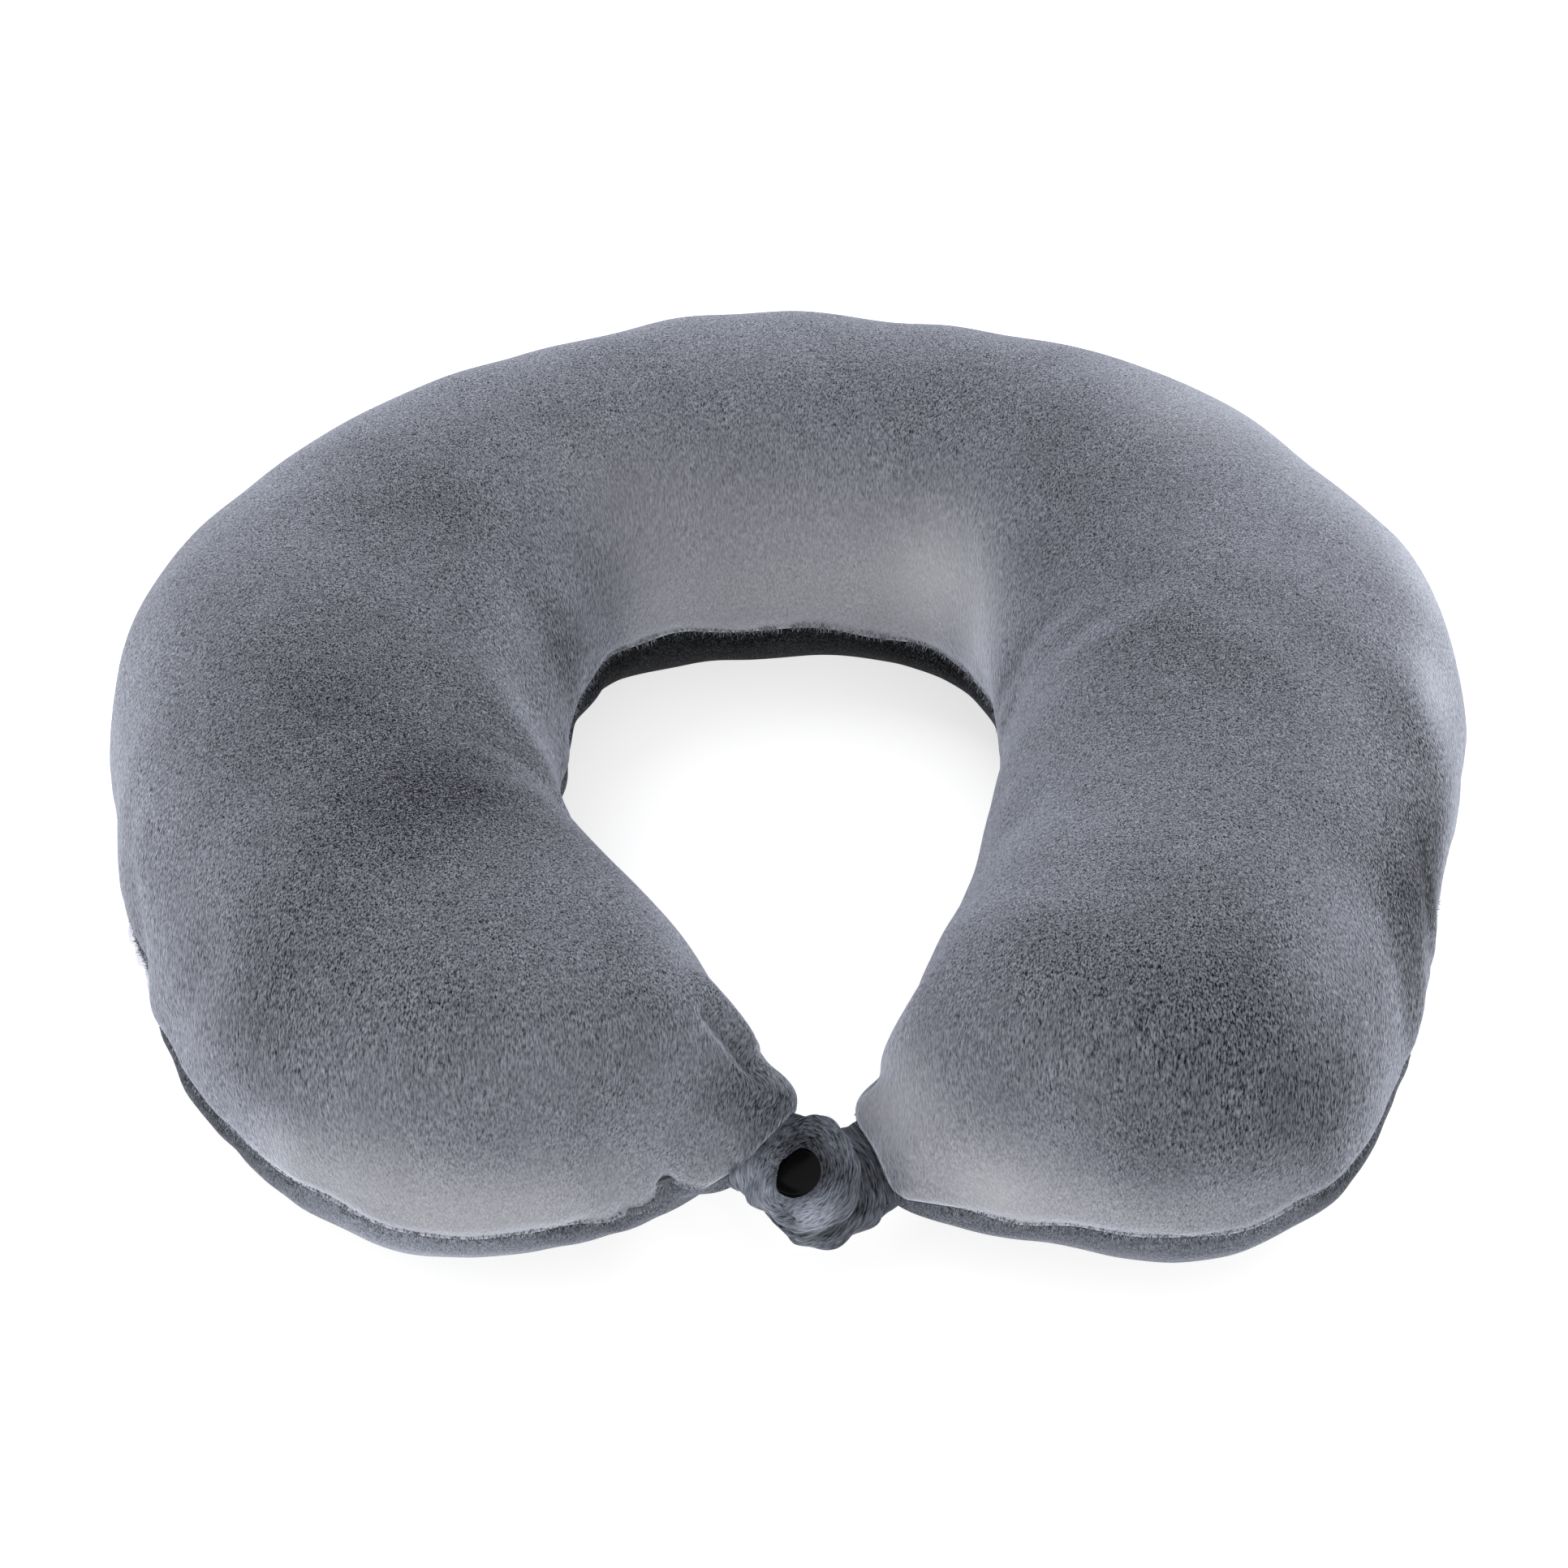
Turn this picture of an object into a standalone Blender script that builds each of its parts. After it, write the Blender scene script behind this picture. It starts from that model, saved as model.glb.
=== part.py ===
"""U-shaped neck pillow: a moulded foam core in a zipped two-tone cover, closed by two snap tabs.

The pillow lies on z = 0 with its back towards +Y and its two tips towards -Y. All sizes in this file
are millimetres, and scaled() turns them into Blender's metres.
"""

import math

import bmesh
import bpy
import numpy as np
from mathutils import Matrix, Vector

MM = 0.001

# The zip follows one circular arc of the outer seam, seen from above.
ARC_X, ARC_Y, ARC_R = 0.3, -27.2, 163.5
ARC_FIRST, ARC_LAST = 156.0, 24.0  # degrees, from the left end of the zip to the right end
ARC_STEPS = 6

SEAM_Z = 25.0
TOP_POWER, BOTTOM_POWER = 2.15, 1.9  # superellipse exponents of the two panels' profiles

COVER_T = 2.0
TAPE_OUT, TAPE_IN = 2.6, 3.2  # depth of the zip tape under the cover's outer face
TAPE_REACH = 11.5  # from the zip's centre line to the tape's far edge
TAPE_STEPS = 3
LAYOUT_FADE = 2.5  # stations over which the panels' columns go from the tape's spacing to an even one
THREAD_DEPTH, THREAD_R = 3.4, 0.6
FOAM_DEPTH = 6.8
SEAM_GAP = 0.3
ZIP_OPENING = 4.7  # each cover rim stands this far from the zip's centre line

# The two tabs lie in parallel planes, which lean forward a little. Their shared frame has its origin at
# the snap, in the middle of the left tab's thickness: p runs from left tip to right, q towards the back.
SNAP_X, SNAP_Y, SNAP_Z = 1.5, -118.7, 24.3
TAB_HEADING, TAB_LEAN = math.radians(-7.0), math.radians(12.0)
LEFT_ROOT = ((-4.3, 16.0), (-12.4, -2.8))  # inner and outer end of the tab's seam, as (p, q)
RIGHT_ROOT = ((11.5, 20.5), (23.0, 2.6))
RIGHT_TAB_DROP = 6.9  # from the left tab's middle plane down to the right tab's
LEFT_TAB_R = (12.3, 13.2)  # half the tab's length and width
RIGHT_TAB_R = (10.5, 13.6)
TAB_SET_BACK = 1.2  # from the snap to the middle of each tab's width
ROOT_GAP, HINGE_OUT = 2.0, 1.7  # from the tip's mouth to the tab's edge, and to its fold line
PLY_T, PLY_GAP = 1.1, 0.3
MOUTH_HALF = 3.4

SNAP_CAP_R, SNAP_CAP_T = 6.2, 1.2
SNAP_BODY_R = 5.2
PIN_R, PIN_HOLE_R = 1.2, 1.6
SOCKET_T, SOCKET_WEB, SOCKET_POCKET_R = 2.6, 0.6, 3.0
STUD_BASE_T, STUD_POST_R, STUD_POST_H = 0.9, 1.9, 1.4
GAP = 0.3

COIL_NEAR, COIL_FAR = 1.1, 2.5  # each coil's edges, above or below the zip's centre line
COIL_OUT, COIL_IN = 0.8, 2.1  # depth of the coil's two faces inside the arc's radius
SLIDER_REST = 28.4  # degrees round the arc
SLIDER_HALF_L, SLIDER_HALF_W = 4.7, 3.9
STOP_HALF_L = 1.4
PULL_L, PULL_W, PULL_T = 22.0, 5.4, 1.0

LABEL_STATION, LABEL_W, LABEL_DROP, LABEL_T = 6.15, 22.0, 9.0, 0.6
LABEL_TUCK = math.radians(12.0)  # lean of the label inwards, along the bottom panel


def arc_point(angle):
    """A point of the outer seam on the zip's arc, at an angle in degrees."""
    a = math.radians(angle)
    return ARC_X + ARC_R * math.cos(a), ARC_Y + ARC_R * math.sin(a)


def tab_axes():
    """The tabs' shared unit axes: p along them, q across them and n out of their upper face."""
    p = Vector((math.cos(TAB_HEADING), math.sin(TAB_HEADING), 0.0))
    level = Vector((-math.sin(TAB_HEADING), math.cos(TAB_HEADING), 0.0))
    up = Vector((0.0, 0.0, 1.0))
    q = level * math.cos(TAB_LEAN) + up * math.sin(TAB_LEAN)
    return p, q, p.cross(q)


def tab_point(p, q, n=0.0):
    """A point given in the tabs' shared frame, in the pillow's own frame."""
    along, across, out = tab_axes()
    return Vector((SNAP_X, SNAP_Y, SNAP_Z)) + along * p + across * q + out * n


def stations():
    """Rows of inner x y z, outer x y z, height above the seam and depth below it, from left tip to right."""
    left_in, left_out = (tab_point(*end) for end in LEFT_ROOT)
    right_in, right_out = (tab_point(*end, -RIGHT_TAB_DROP) for end in RIGHT_ROOT)
    z = SEAM_Z
    left_arm = [
        (*left_in, *left_out, MOUTH_HALF, MOUTH_HALF),
        (-6, -97, 27, -29, -125, 25, 32, 12),
        (-13, -86, 26, -48, -133, 25, 46, 16),
        (-20, -72, z, -71, -136, z, 55, 21),
        (-32, -55, z, -97, -127, z, 58, 25),
        (-43, -37, z, -123, -97, z, 59, 27),
        (-50, -15, z, -141, -57, z, 59, 27),
        (-50, 7, z, -151, -11, z, 58, 27),
    ]
    back_inner = [(-46, 33), (-35, 50), (-18, 56), (-2, 57), (15, 56), (33, 50), (44, 33)]
    back_height = [57, 54, 53, 54, 55, 58, 59]
    step = (ARC_LAST - ARC_FIRST) / ARC_STEPS
    back = [
        (*inner, z, *arc_point(ARC_FIRST + i * step), z, back_height[i], 27)
        for i, inner in enumerate(back_inner)
    ]
    right_arm = [
        (48, 7, z, 150, -9, z, 59, 27),
        (45, -15, z, 141, -49, z, 59, 27),
        (40, -38, z, 130, -90, z, 59, 27),
        (35, -57, z, 107, -127, z, 58, 25),
        (29, -73, z, 81, -136, 24, 55, 21),
        (25, -83, 25, 56, -132, 23, 46, 16),
        (20, -91, 24, 38, -125, 20, 32, 12),
        (*right_in, *right_out, MOUTH_HALF, MOUTH_HALF),
    ]
    return np.array(left_arm + back + right_arm, float)


STATIONS = stations()
LAST = len(STATIONS) - 1
SECTION_PARTS = 3
ZIP_FIRST = 8.0
ZIP_LAST = ZIP_FIRST + ARC_STEPS


def bend_rates(rows):
    """Second derivatives of the natural cubic spline through rows at whole-number knots."""
    count = len(rows)
    matrix = np.eye(count)
    right = np.zeros_like(rows)
    for i in range(1, count - 1):
        matrix[i, i - 1 : i + 2] = (1, 4, 1)
        right[i] = 6 * (rows[i - 1] - 2 * rows[i] + rows[i + 1])
    return np.linalg.solve(matrix, right)


RATES = bend_rates(STATIONS)


def station_at(t):
    """The interpolated station row at a fractional station number."""
    i = min(int(t), LAST - 1)
    b = t - i
    a = 1.0 - b
    cubic = ((a**3 - a) * RATES[i] + (b**3 - b) * RATES[i + 1]) / 6
    row = a * STATIONS[i] + b * STATIONS[i + 1] + cubic
    if ZIP_FIRST <= t <= ZIP_LAST:
        row[3:5] = arc_point(ARC_FIRST + (t - ZIP_FIRST) * (ARC_LAST - ARC_FIRST) / ARC_STEPS)
    return row


def section_at(t):
    """A section of the pillow: its station row, then four slants.

    A slant is how far a point moves in the section's plane to be 1 mm further inside: from the inner
    seam, from the outer seam, from the top and from the bottom.
    """
    row = station_at(t)
    ahead, behind = station_at(min(t + 0.05, LAST)), station_at(max(t - 0.05, 0.0))
    step = ahead - behind
    across = (row[3:5] - row[0:2]) / np.linalg.norm(row[3:5] - row[0:2])
    slants = []
    for seam in (slice(0, 2), slice(3, 5)):
        along = step[seam] / np.linalg.norm(step[seam])
        slants.append(1.0 / max(0.5, abs(across[0] * along[1] - across[1] * along[0])))
    length = np.linalg.norm(step[0:3] + step[3:6]) / 2
    for height in (6, 7):
        slants.append(min(2.5, math.hypot(1.0, step[height] / length)))
    return np.concatenate([row, slants])


def height_inside(row, depth, sign):
    """The height of the top profile, or the depth of the bottom one, at a depth under the cover's face."""
    full, slant = (row[6], row[10]) if sign > 0 else (row[7], row[11])
    return max(full - depth * slant, 0.4 * full)


def seam_ends(row, depth):
    """The inner and outer seam points of a section, each moved in by depth from its seam."""
    inner, outer = row[0:3], row[3:6]
    across = (outer - inner) / np.linalg.norm(outer - inner)
    return inner + across * depth * row[8], outer - across * depth * row[9]


def profile_point(row, depth, phi, sign):
    """A point of the cover's profile: phi runs from 0 at the outer seam to pi at the inner one."""
    power = TOP_POWER if sign > 0 else BOTTOM_POWER
    height = height_inside(row, depth, sign)
    inner, outer = seam_ends(row, depth)
    c, s = math.cos(phi), math.sin(phi)
    u = math.copysign(abs(c) ** (2 / power), c)
    k = abs(s) ** (2 / power)
    point = (inner + outer) / 2 + (outer - inner) / 2 * u
    point[2] = max(point[2] + sign * k * height, depth)
    return point


def rim_angle(row, depth, rise, sign):
    """The profile angle at which the panel stands a given rise from the seam plane."""
    power = TOP_POWER if sign > 0 else BOTTOM_POWER
    return math.asin(min(1.0, (rise / height_inside(row, depth, sign)) ** (power / 2)))


def section_numbers():
    """Fractional station numbers of the cover's sections."""
    return [i / SECTION_PARTS for i in range(LAST * SECTION_PARTS + 1)]


def outer_rise(t):
    """How far the outer rim stands from the seam plane: wide along the zip and closed elsewhere."""
    return ZIP_OPENING if ZIP_FIRST <= t <= ZIP_LAST else SEAM_GAP


def panel_angles(t, depth, sign, steps):
    """The profile angles of a panel's columns, from its outer rim to its inner one.

    Along the zip some of them follow the tape, and away from it all of them are even.
    """
    row = section_at(t)
    count = steps + TAPE_STEPS
    first = rim_angle(row, depth, outer_rise(t), sign)
    last = math.pi - rim_angle(row, depth, SEAM_GAP, sign)
    even = [first + (last - first) * i / count for i in range(count + 1)]
    away = max(ZIP_FIRST - t, t - ZIP_LAST, 0.0) / LAYOUT_FADE
    if away >= 1.0:
        return even
    gain = (TAPE_REACH - outer_rise(t)) / TAPE_STEPS
    near = [rim_angle(row, depth, outer_rise(t) + gain * i, sign) for i in range(TAPE_STEPS + 1)]
    far = [near[-1] + (last - near[-1]) * (i + 1) / steps for i in range(steps)]
    return [a + (b - a) * away for a, b in zip(near + far, even)]


def scaled(points):
    return [Vector(p) * MM for p in points]


def material(name, colour, roughness, metallic=0.0):
    made = bpy.data.materials.get(name)
    if made:
        return made
    made = bpy.data.materials.new(name)
    made.use_nodes = True
    shader = made.node_tree.nodes["Principled BSDF"]
    shader.inputs["Base Color"].default_value = (*colour, 1.0)
    shader.inputs["Roughness"].default_value = roughness
    shader.inputs["Metallic"].default_value = metallic
    return made


LIGHT_VELOUR = material("light_velour", (0.22, 0.22, 0.24), 0.9)
DARK_VELOUR = material("dark_velour", (0.075, 0.085, 0.10), 0.9)
FOAM = material("memory_foam", (0.85, 0.80, 0.62), 0.85)
THREAD = material("sewing_thread", (0.10, 0.11, 0.13), 0.7)
ZIP_FABRIC = material("zip_tape_weave", (0.05, 0.055, 0.065), 0.8)
ZIP_NYLON = material("zip_coil_nylon", (0.04, 0.04, 0.045), 0.4)
ZIP_METAL = material("zip_slider_metal", (0.03, 0.03, 0.03), 0.35, 0.6)
SNAP_RESIN = material("black_snap_resin", (0.008, 0.008, 0.01), 0.15)
SATIN = material("white_satin_label", (0.85, 0.85, 0.86), 0.45)


def solid(name, points, faces, look, smooth=False):
    """A mesh object from points in millimetres, with its faces turned outwards."""
    mesh = bpy.data.meshes.new(name)
    mesh.from_pydata(scaled(points), [], faces)
    work = bmesh.new()
    work.from_mesh(mesh)
    bmesh.ops.recalc_face_normals(work, faces=work.faces)
    work.to_mesh(mesh)
    work.free()
    if smooth:
        mesh.shade_smooth()
        mesh.set_sharp_from_angle(angle=math.radians(40))
    mesh.materials.append(look)
    made = bpy.data.objects.new(name, mesh)
    bpy.context.scene.collection.objects.link(made)
    return made


def slab(name, outer, inner, look):
    """A thin closed solid between two grids of points with the same rows and columns."""
    rows, columns = len(outer), len(outer[0])
    points = [p for grid in (outer, inner) for row in grid for p in row]
    second = rows * columns

    def at(i, j, side):
        return side * second + i * columns + j

    faces = []
    for i in range(rows - 1):
        for j in range(columns - 1):
            for side in (0, 1):
                faces.append((at(i, j, side), at(i + 1, j, side), at(i + 1, j + 1, side), at(i, j + 1, side)))
        for j in (0, columns - 1):
            faces.append((at(i, j, 0), at(i + 1, j, 0), at(i + 1, j, 1), at(i, j, 1)))
    for j in range(columns - 1):
        for i in (0, rows - 1):
            faces.append((at(i, j, 0), at(i, j + 1, 0), at(i, j + 1, 1), at(i, j, 1)))
    return solid(name, points, faces, look, smooth=True)


def loop_sweep(name, rings, look):
    """A closed solid through rings of points, capped at its first and last ring."""
    size = len(rings[0])
    points = [p for ring in rings for p in ring]
    faces = [tuple(range(size)), tuple((len(rings) - 1) * size + j for j in range(size))]
    for i in range(len(rings) - 1):
        for j in range(size):
            k = (j + 1) % size
            faces.append((i * size + j, (i + 1) * size + j, (i + 1) * size + k, i * size + k))
    return solid(name, points, faces, look, smooth=True)


def box(name, low, high, look):
    """A plain box between two corners, in millimetres."""
    corners = [(x, y, z) for x in (low[0], high[0]) for y in (low[1], high[1]) for z in (low[2], high[2])]
    faces = [(0, 1, 3, 2), (4, 5, 7, 6), (0, 1, 5, 4), (2, 3, 7, 6), (0, 2, 6, 4), (1, 3, 7, 5)]
    return solid(name, corners, faces, look)


def prism(name, outline, low, high, look, smooth=False):
    """An outline of (x, y) points extruded from z = low to z = high."""
    rings = [[(x, y, z) for x, y in outline] for z in (low, high)]
    made = loop_sweep(name, rings, look)
    if not smooth:
        made.data.shade_flat()
    return made


def lathe(name, profile, look, sides=32):
    """A profile of (radius, height) points turned round z. It starts and ends on the axis, or is a ring."""
    closed = profile[0][0] > 0
    work = bmesh.new()
    made = [work.verts.new(Vector((r, 0.0, h)) * MM) for r, h in profile]
    links = list(zip(made, made[1:])) + ([(made[-1], made[0])] if closed else [])
    edges = [work.edges.new(pair) for pair in links]
    bmesh.ops.spin(
        work, geom=made + edges, cent=(0, 0, 0), axis=(0, 0, 1), angle=2 * math.pi, steps=sides, use_merge=True
    )
    bmesh.ops.remove_doubles(work, verts=work.verts, dist=0.00001)
    bmesh.ops.recalc_face_normals(work, faces=work.faces)
    mesh = bpy.data.meshes.new(name)
    work.to_mesh(mesh)
    work.free()
    mesh.shade_smooth()
    mesh.set_sharp_from_angle(angle=math.radians(35))
    mesh.materials.append(look)
    turned = bpy.data.objects.new(name, mesh)
    bpy.context.scene.collection.objects.link(turned)
    return turned


def cut_or_join(target, tool, operation):
    """Adds a Boolean to target, and keeps the tool out of the render."""
    modifier = target.modifiers.new(operation.lower(), "BOOLEAN")
    modifier.operation = operation
    modifier.object = tool
    tool.hide_render = True
    tool.display_type = "WIRE"
    tool.parent = target


def empty(name, matrix):
    made = bpy.data.objects.new(name, None)
    made.matrix_world = matrix
    bpy.context.scene.collection.objects.link(made)
    return made


def panel(name, sign, steps, look):
    """One half of the cover: a U-shaped sheet from its outer rim over to its inner rim."""
    grids = []
    for depth in (0.0, COVER_T):
        grid = []
        for t in section_numbers():
            row = section_at(t)
            angles = panel_angles(t, depth, sign, steps)
            grid.append([profile_point(row, depth, phi, sign) for phi in angles])
        grids.append(grid)
    return slab(name, *grids, look)


def foam_core():
    """The moulded core: one solid U that stops short of the cover's two tips."""
    first, last, sections, sides = 0.7, LAST - 0.7, 42, 16
    rings = []
    for i in range(sections + 1):
        row = section_at(first + (last - first) * i / sections)
        ring = []
        for j in range(sides):
            phi = 2 * math.pi * j / sides
            sign = 1 if phi <= math.pi else -1
            ring.append(profile_point(row, FOAM_DEPTH, phi if sign > 0 else 2 * math.pi - phi, sign))
        rings.append(ring)
    return loop_sweep("foam_core", rings, FOAM)


def seam_thread(name, side, first, last):
    """The thread of the closed seam, as one cord just inside the cover. Side 0 is inner and 1 is outer."""
    count = max(2, round((last - first) * 3))
    curve = bpy.data.curves.new(name, "CURVE")
    curve.dimensions = "3D"
    curve.bevel_depth = THREAD_R * MM
    curve.bevel_resolution = 1
    curve.use_fill_caps = True
    spline = curve.splines.new("POLY")
    spline.points.add(count)
    for i in range(count + 1):
        point = seam_ends(section_at(first + (last - first) * i / count), THREAD_DEPTH)[side]
        spline.points[i].co = (*(Vector(point) * MM), 1.0)
    curve.materials.append(THREAD)
    made = bpy.data.objects.new(name, curve)
    bpy.context.scene.collection.objects.link(made)
    return made


def zip_tape(name, sign):
    """One woven tape, which lies behind the cover's rim and carries one coil."""
    gain = (TAPE_REACH - ZIP_OPENING) / TAPE_STEPS
    rises = [COIL_NEAR] + [ZIP_OPENING + gain * i for i in range(TAPE_STEPS + 1)]
    sections = [section_at(t) for t in section_numbers() if ZIP_FIRST <= t <= ZIP_LAST]
    grids = []
    for depth in (TAPE_OUT, TAPE_IN):
        grid = []
        for row in sections:
            angles = [rim_angle(row, depth, rise, sign) for rise in rises]
            grid.append([profile_point(row, depth, phi, sign) for phi in angles])
        grids.append(grid)
    return slab(name, *grids, ZIP_FABRIC)


def zip_coil(name, sign):
    """One coil of the chain, as the strip that it fills along the arc."""
    margin = math.degrees(2.4 * STOP_HALF_L / ARC_R)
    first, last, count = ARC_LAST + margin, ARC_FIRST - margin, 48
    near, far = sorted((SEAM_Z + sign * COIL_NEAR, SEAM_Z + sign * COIL_FAR))
    rings = []
    for i in range(count + 1):
        a = math.radians(first + (last - first) * i / count)
        ring = []
        for radius, z in (
            (ARC_R - COIL_OUT, near),
            (ARC_R - COIL_OUT, far),
            (ARC_R - COIL_IN, far),
            (ARC_R - COIL_IN, near),
        ):
            ring.append((ARC_X + radius * math.cos(a), ARC_Y + radius * math.sin(a), z))
        rings.append(ring)
    return loop_sweep(name, rings, ZIP_NYLON)


def on_arc(angle):
    """The frame at an angle of the arc's axis: x points outwards there and y along the travel."""
    centre = Matrix.Translation(Vector((ARC_X, ARC_Y, SEAM_Z)) * MM)
    return centre @ Matrix.Rotation(math.radians(angle), 4, "Z")


def zip_stop(name, angle):
    """The moulded block that ends the chain, across both coils."""
    low = (ARC_R - COIL_IN, -STOP_HALF_L, -COIL_FAR)
    high = (ARC_R - COIL_OUT + 0.4, STOP_HALF_L, COIL_FAR)
    made = box(name, low, high, ZIP_NYLON)
    made.matrix_world = on_arc(angle)
    return made


def zip_slider():
    """The slider: two plates round the chain, a divider between the coils and a crown for the pull."""
    long, wide = SLIDER_HALF_L, SLIDER_HALF_W
    top = ARC_R + 0.9
    body = box("zip_slider_body", (ARC_R - 0.4, -long, -wide), (top, long, wide), ZIP_METAL)
    pieces = [
        ((ARC_R - 5.8, -long, -wide), (ARC_R - 4.7, long, wide)),  # back plate
        ((ARC_R - 5.2, -1.6, -0.7), (ARC_R + 0.2, 1.6, 0.7)),  # divider
        ((top - 0.5, 2.5, -0.7), (top + 2.6, 3.5, 0.7)),  # crown leg
        ((top - 0.5, -3.5, -0.7), (top + 2.6, -2.5, 0.7)),  # crown leg
        ((top + 1.5, -3.3, -0.7), (top + 2.6, 3.3, 0.7)),  # crown bar
    ]
    for sign in (-1, 1):
        near, far = sorted((sign * (COIL_FAR + 0.4), sign * wide))
        pieces.append(((ARC_R - 1.7, -long, near), (ARC_R - 0.2, long, far)))  # flange over the coil
    for i, (low, high) in enumerate(pieces):
        cut_or_join(body, box(f"slider_piece_{i}", low, high, ZIP_METAL), "UNION")
    body.matrix_world = on_arc(SLIDER_REST)
    return body


def zip_pull():
    """The pull tab, lying along the chain. Its origin is the crossbar in the slider's crown."""
    crown = ARC_R + 0.9 + 0.75
    half = PULL_W / 2
    outline = [(0.45, -half + 0.6), (0.0, -half + 0.1), (-0.45, -half + 0.6)]
    outline += [(-0.45, half - 0.6), (0.0, half - 0.1), (0.45, half - 0.6)]
    shape = [(-0.45, -half + 0.5), (4.5, -half + 0.5), (7.0, -half), (PULL_L - 2.0, -half)]
    shape += [(PULL_L, -half + 2.0), (PULL_L, half - 2.0), (PULL_L - 2.0, half)]
    shape += [(7.0, half), (4.5, half - 0.5), (-0.45, half - 0.5)]
    pull = prism("zip_pull_tab", shape, -PULL_T / 2 + 0.05, PULL_T / 2 - 0.05, ZIP_METAL)
    eye = box("pull_eye", (0.5, -1.2, -PULL_T), (4.4, 1.2, PULL_T), ZIP_METAL)
    hang_hole = box("pull_tip_hole", (PULL_L - 4.6, -1.5, -PULL_T), (PULL_L - 2.4, 1.5, PULL_T), ZIP_METAL)
    cut_or_join(pull, eye, "DIFFERENCE")
    cut_or_join(pull, hang_hole, "DIFFERENCE")
    # The outline's x runs along the travel, its y up the pillow's z, and its thickness outwards.
    turn = Matrix(((0, 0, 1, 0), (1, 0, 0, 0), (0, 1, 0, 0), (0, 0, 0, 1)))
    pull.matrix_world = on_arc(SLIDER_REST) @ Matrix.Translation((crown * MM, 0, 0)) @ turn
    return pull


def tab_matrix(root):
    """The tabs' frame, with its origin moved to the fold line of one tab's root."""
    along, across, out = tab_axes()
    matrix = Matrix((along, across, out)).transposed().to_4x4()
    matrix.translation = root * MM
    return matrix


def root_line(root):
    """The root's middle, its unit direction and the unit normal towards the snap, all as (p, q)."""
    inner, outer = Vector(root[0]), Vector(root[1])
    line = (inner - outer).normalized()
    middle = (inner + outer) / 2
    normal = Vector((-line.y, line.x))
    if normal.dot(-middle) < 0:
        normal = -normal
    return middle, line, normal


def fold_point(root):
    """The middle of a tab's fold line, as (p, q): just outside the tip's mouth."""
    middle, _, normal = root_line(root)
    return middle + normal * HINGE_OUT


def tab_outline(root, radii):
    """A tab seen from above: an oval round the snap, drawn out to its straight root."""
    _, _, normal = root_line(root)
    ends = [Vector(end) + normal * ROOT_GAP for end in root]
    inset = (ends[1] - ends[0]).normalized() * 0.6
    ends = [ends[0] + inset, ends[1] - inset]
    away = [math.atan2(end.y, end.x) for end in ends]
    turn = (away[1] - away[0]) % (2 * math.pi)
    facing = math.atan2(-normal.y, -normal.x)
    if (facing - away[0]) % (2 * math.pi) < turn:
        ends.reverse()
        away.reverse()
        turn = 2 * math.pi - turn
    count = 28
    lead = math.radians(24)
    arc = [away[0] + lead + (turn - 2 * lead) * i / count for i in range(count + 1)]
    rim = [Vector((radii[0] * math.cos(a), radii[1] * math.sin(a) + TAB_SET_BACK)) for a in arc]
    return [ends[0], *rim, ends[1]]


def tab_ply(name, root, radii, low):
    """One fabric ply of a tab, with the pin's hole. Low is its underside, from the snap's own plane."""
    fold = fold_point(root)
    outline = [tuple(p - fold) for p in tab_outline(root, radii)]
    ply = prism(name, outline, low, low + PLY_T, DARK_VELOUR)
    hole = [(-fold.x + PIN_HOLE_R * math.cos(a), -fold.y + PIN_HOLE_R * math.sin(a)) for a in circle(16)]
    cutter = prism(name + "_hole", hole, low - 1.0, low + PLY_T + 1.0, DARK_VELOUR)
    cut_or_join(ply, cutter, "DIFFERENCE")
    return ply


def circle(sides):
    return [2 * math.pi * i / sides for i in range(sides)]


def snap_cap(name, way):
    """A round cap with its pin. Way is 1 for a cap on top and -1 for one underneath."""
    start = (PLY_GAP / 2 + PLY_T + GAP) * way
    top = start + SNAP_CAP_T * way
    reach = PIN_LENGTHS[way]
    profile = [
        (0.0, top - 0.25 * way),
        (3.6, top - 0.25 * way),
        (4.4, top),
        (5.4, top),
        (SNAP_CAP_R, top - 0.55 * way),
        (SNAP_CAP_R, start + 0.25 * way),
        (SNAP_CAP_R - 0.4, start),
        (PIN_R, start),
    ]
    end = start - reach * way
    if way > 0:  # The upper pin's tip is flared inside the socket.
        profile += [(PIN_R, end + 0.4), (PIN_R + 0.7, end + 0.4), (PIN_R + 0.7, end)]
    else:
        profile += [(PIN_R, end)]
    profile.append((0.0, end))
    return lathe(name, profile, SNAP_RESIN)


PLIES = PLY_GAP + 2 * PLY_T
PIN_LENGTHS = {1: GAP + PLIES + GAP + SOCKET_WEB + GAP + 0.4, -1: GAP + PLIES + GAP + STUD_BASE_T + 0.2}


def snap_socket():
    top = -(PLIES / 2 + GAP)
    bottom, web = top - SOCKET_T, top - SOCKET_WEB
    profile = [
        (PIN_HOLE_R, top),
        (SNAP_BODY_R, top),
        (SNAP_BODY_R, bottom + 0.5),
        (SNAP_BODY_R - 0.6, bottom),
        (SOCKET_POCKET_R, bottom),
        (SOCKET_POCKET_R, web),
        (PIN_HOLE_R, web),
    ]
    return lathe("snap_socket", profile, SNAP_RESIN)


def snap_stud():
    bottom = PLIES / 2 + GAP
    base = bottom + STUD_BASE_T
    top = base + STUD_POST_H
    bore_top = base + 0.5
    profile = [
        (0.0, top),
        (STUD_POST_R - 0.3, top),
        (STUD_POST_R, top - 0.3),
        (STUD_POST_R, top - 0.7),
        (STUD_POST_R - 0.2, base),
        (SNAP_BODY_R - 0.3, base),
        (SNAP_BODY_R, base - 0.3),
        (SNAP_BODY_R, bottom),
        (PIN_HOLE_R - 0.1, bottom),
        (PIN_HOLE_R - 0.1, bore_top),
        (0.0, bore_top),
    ]
    return lathe("snap_stud", profile, SNAP_RESIN)


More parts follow.
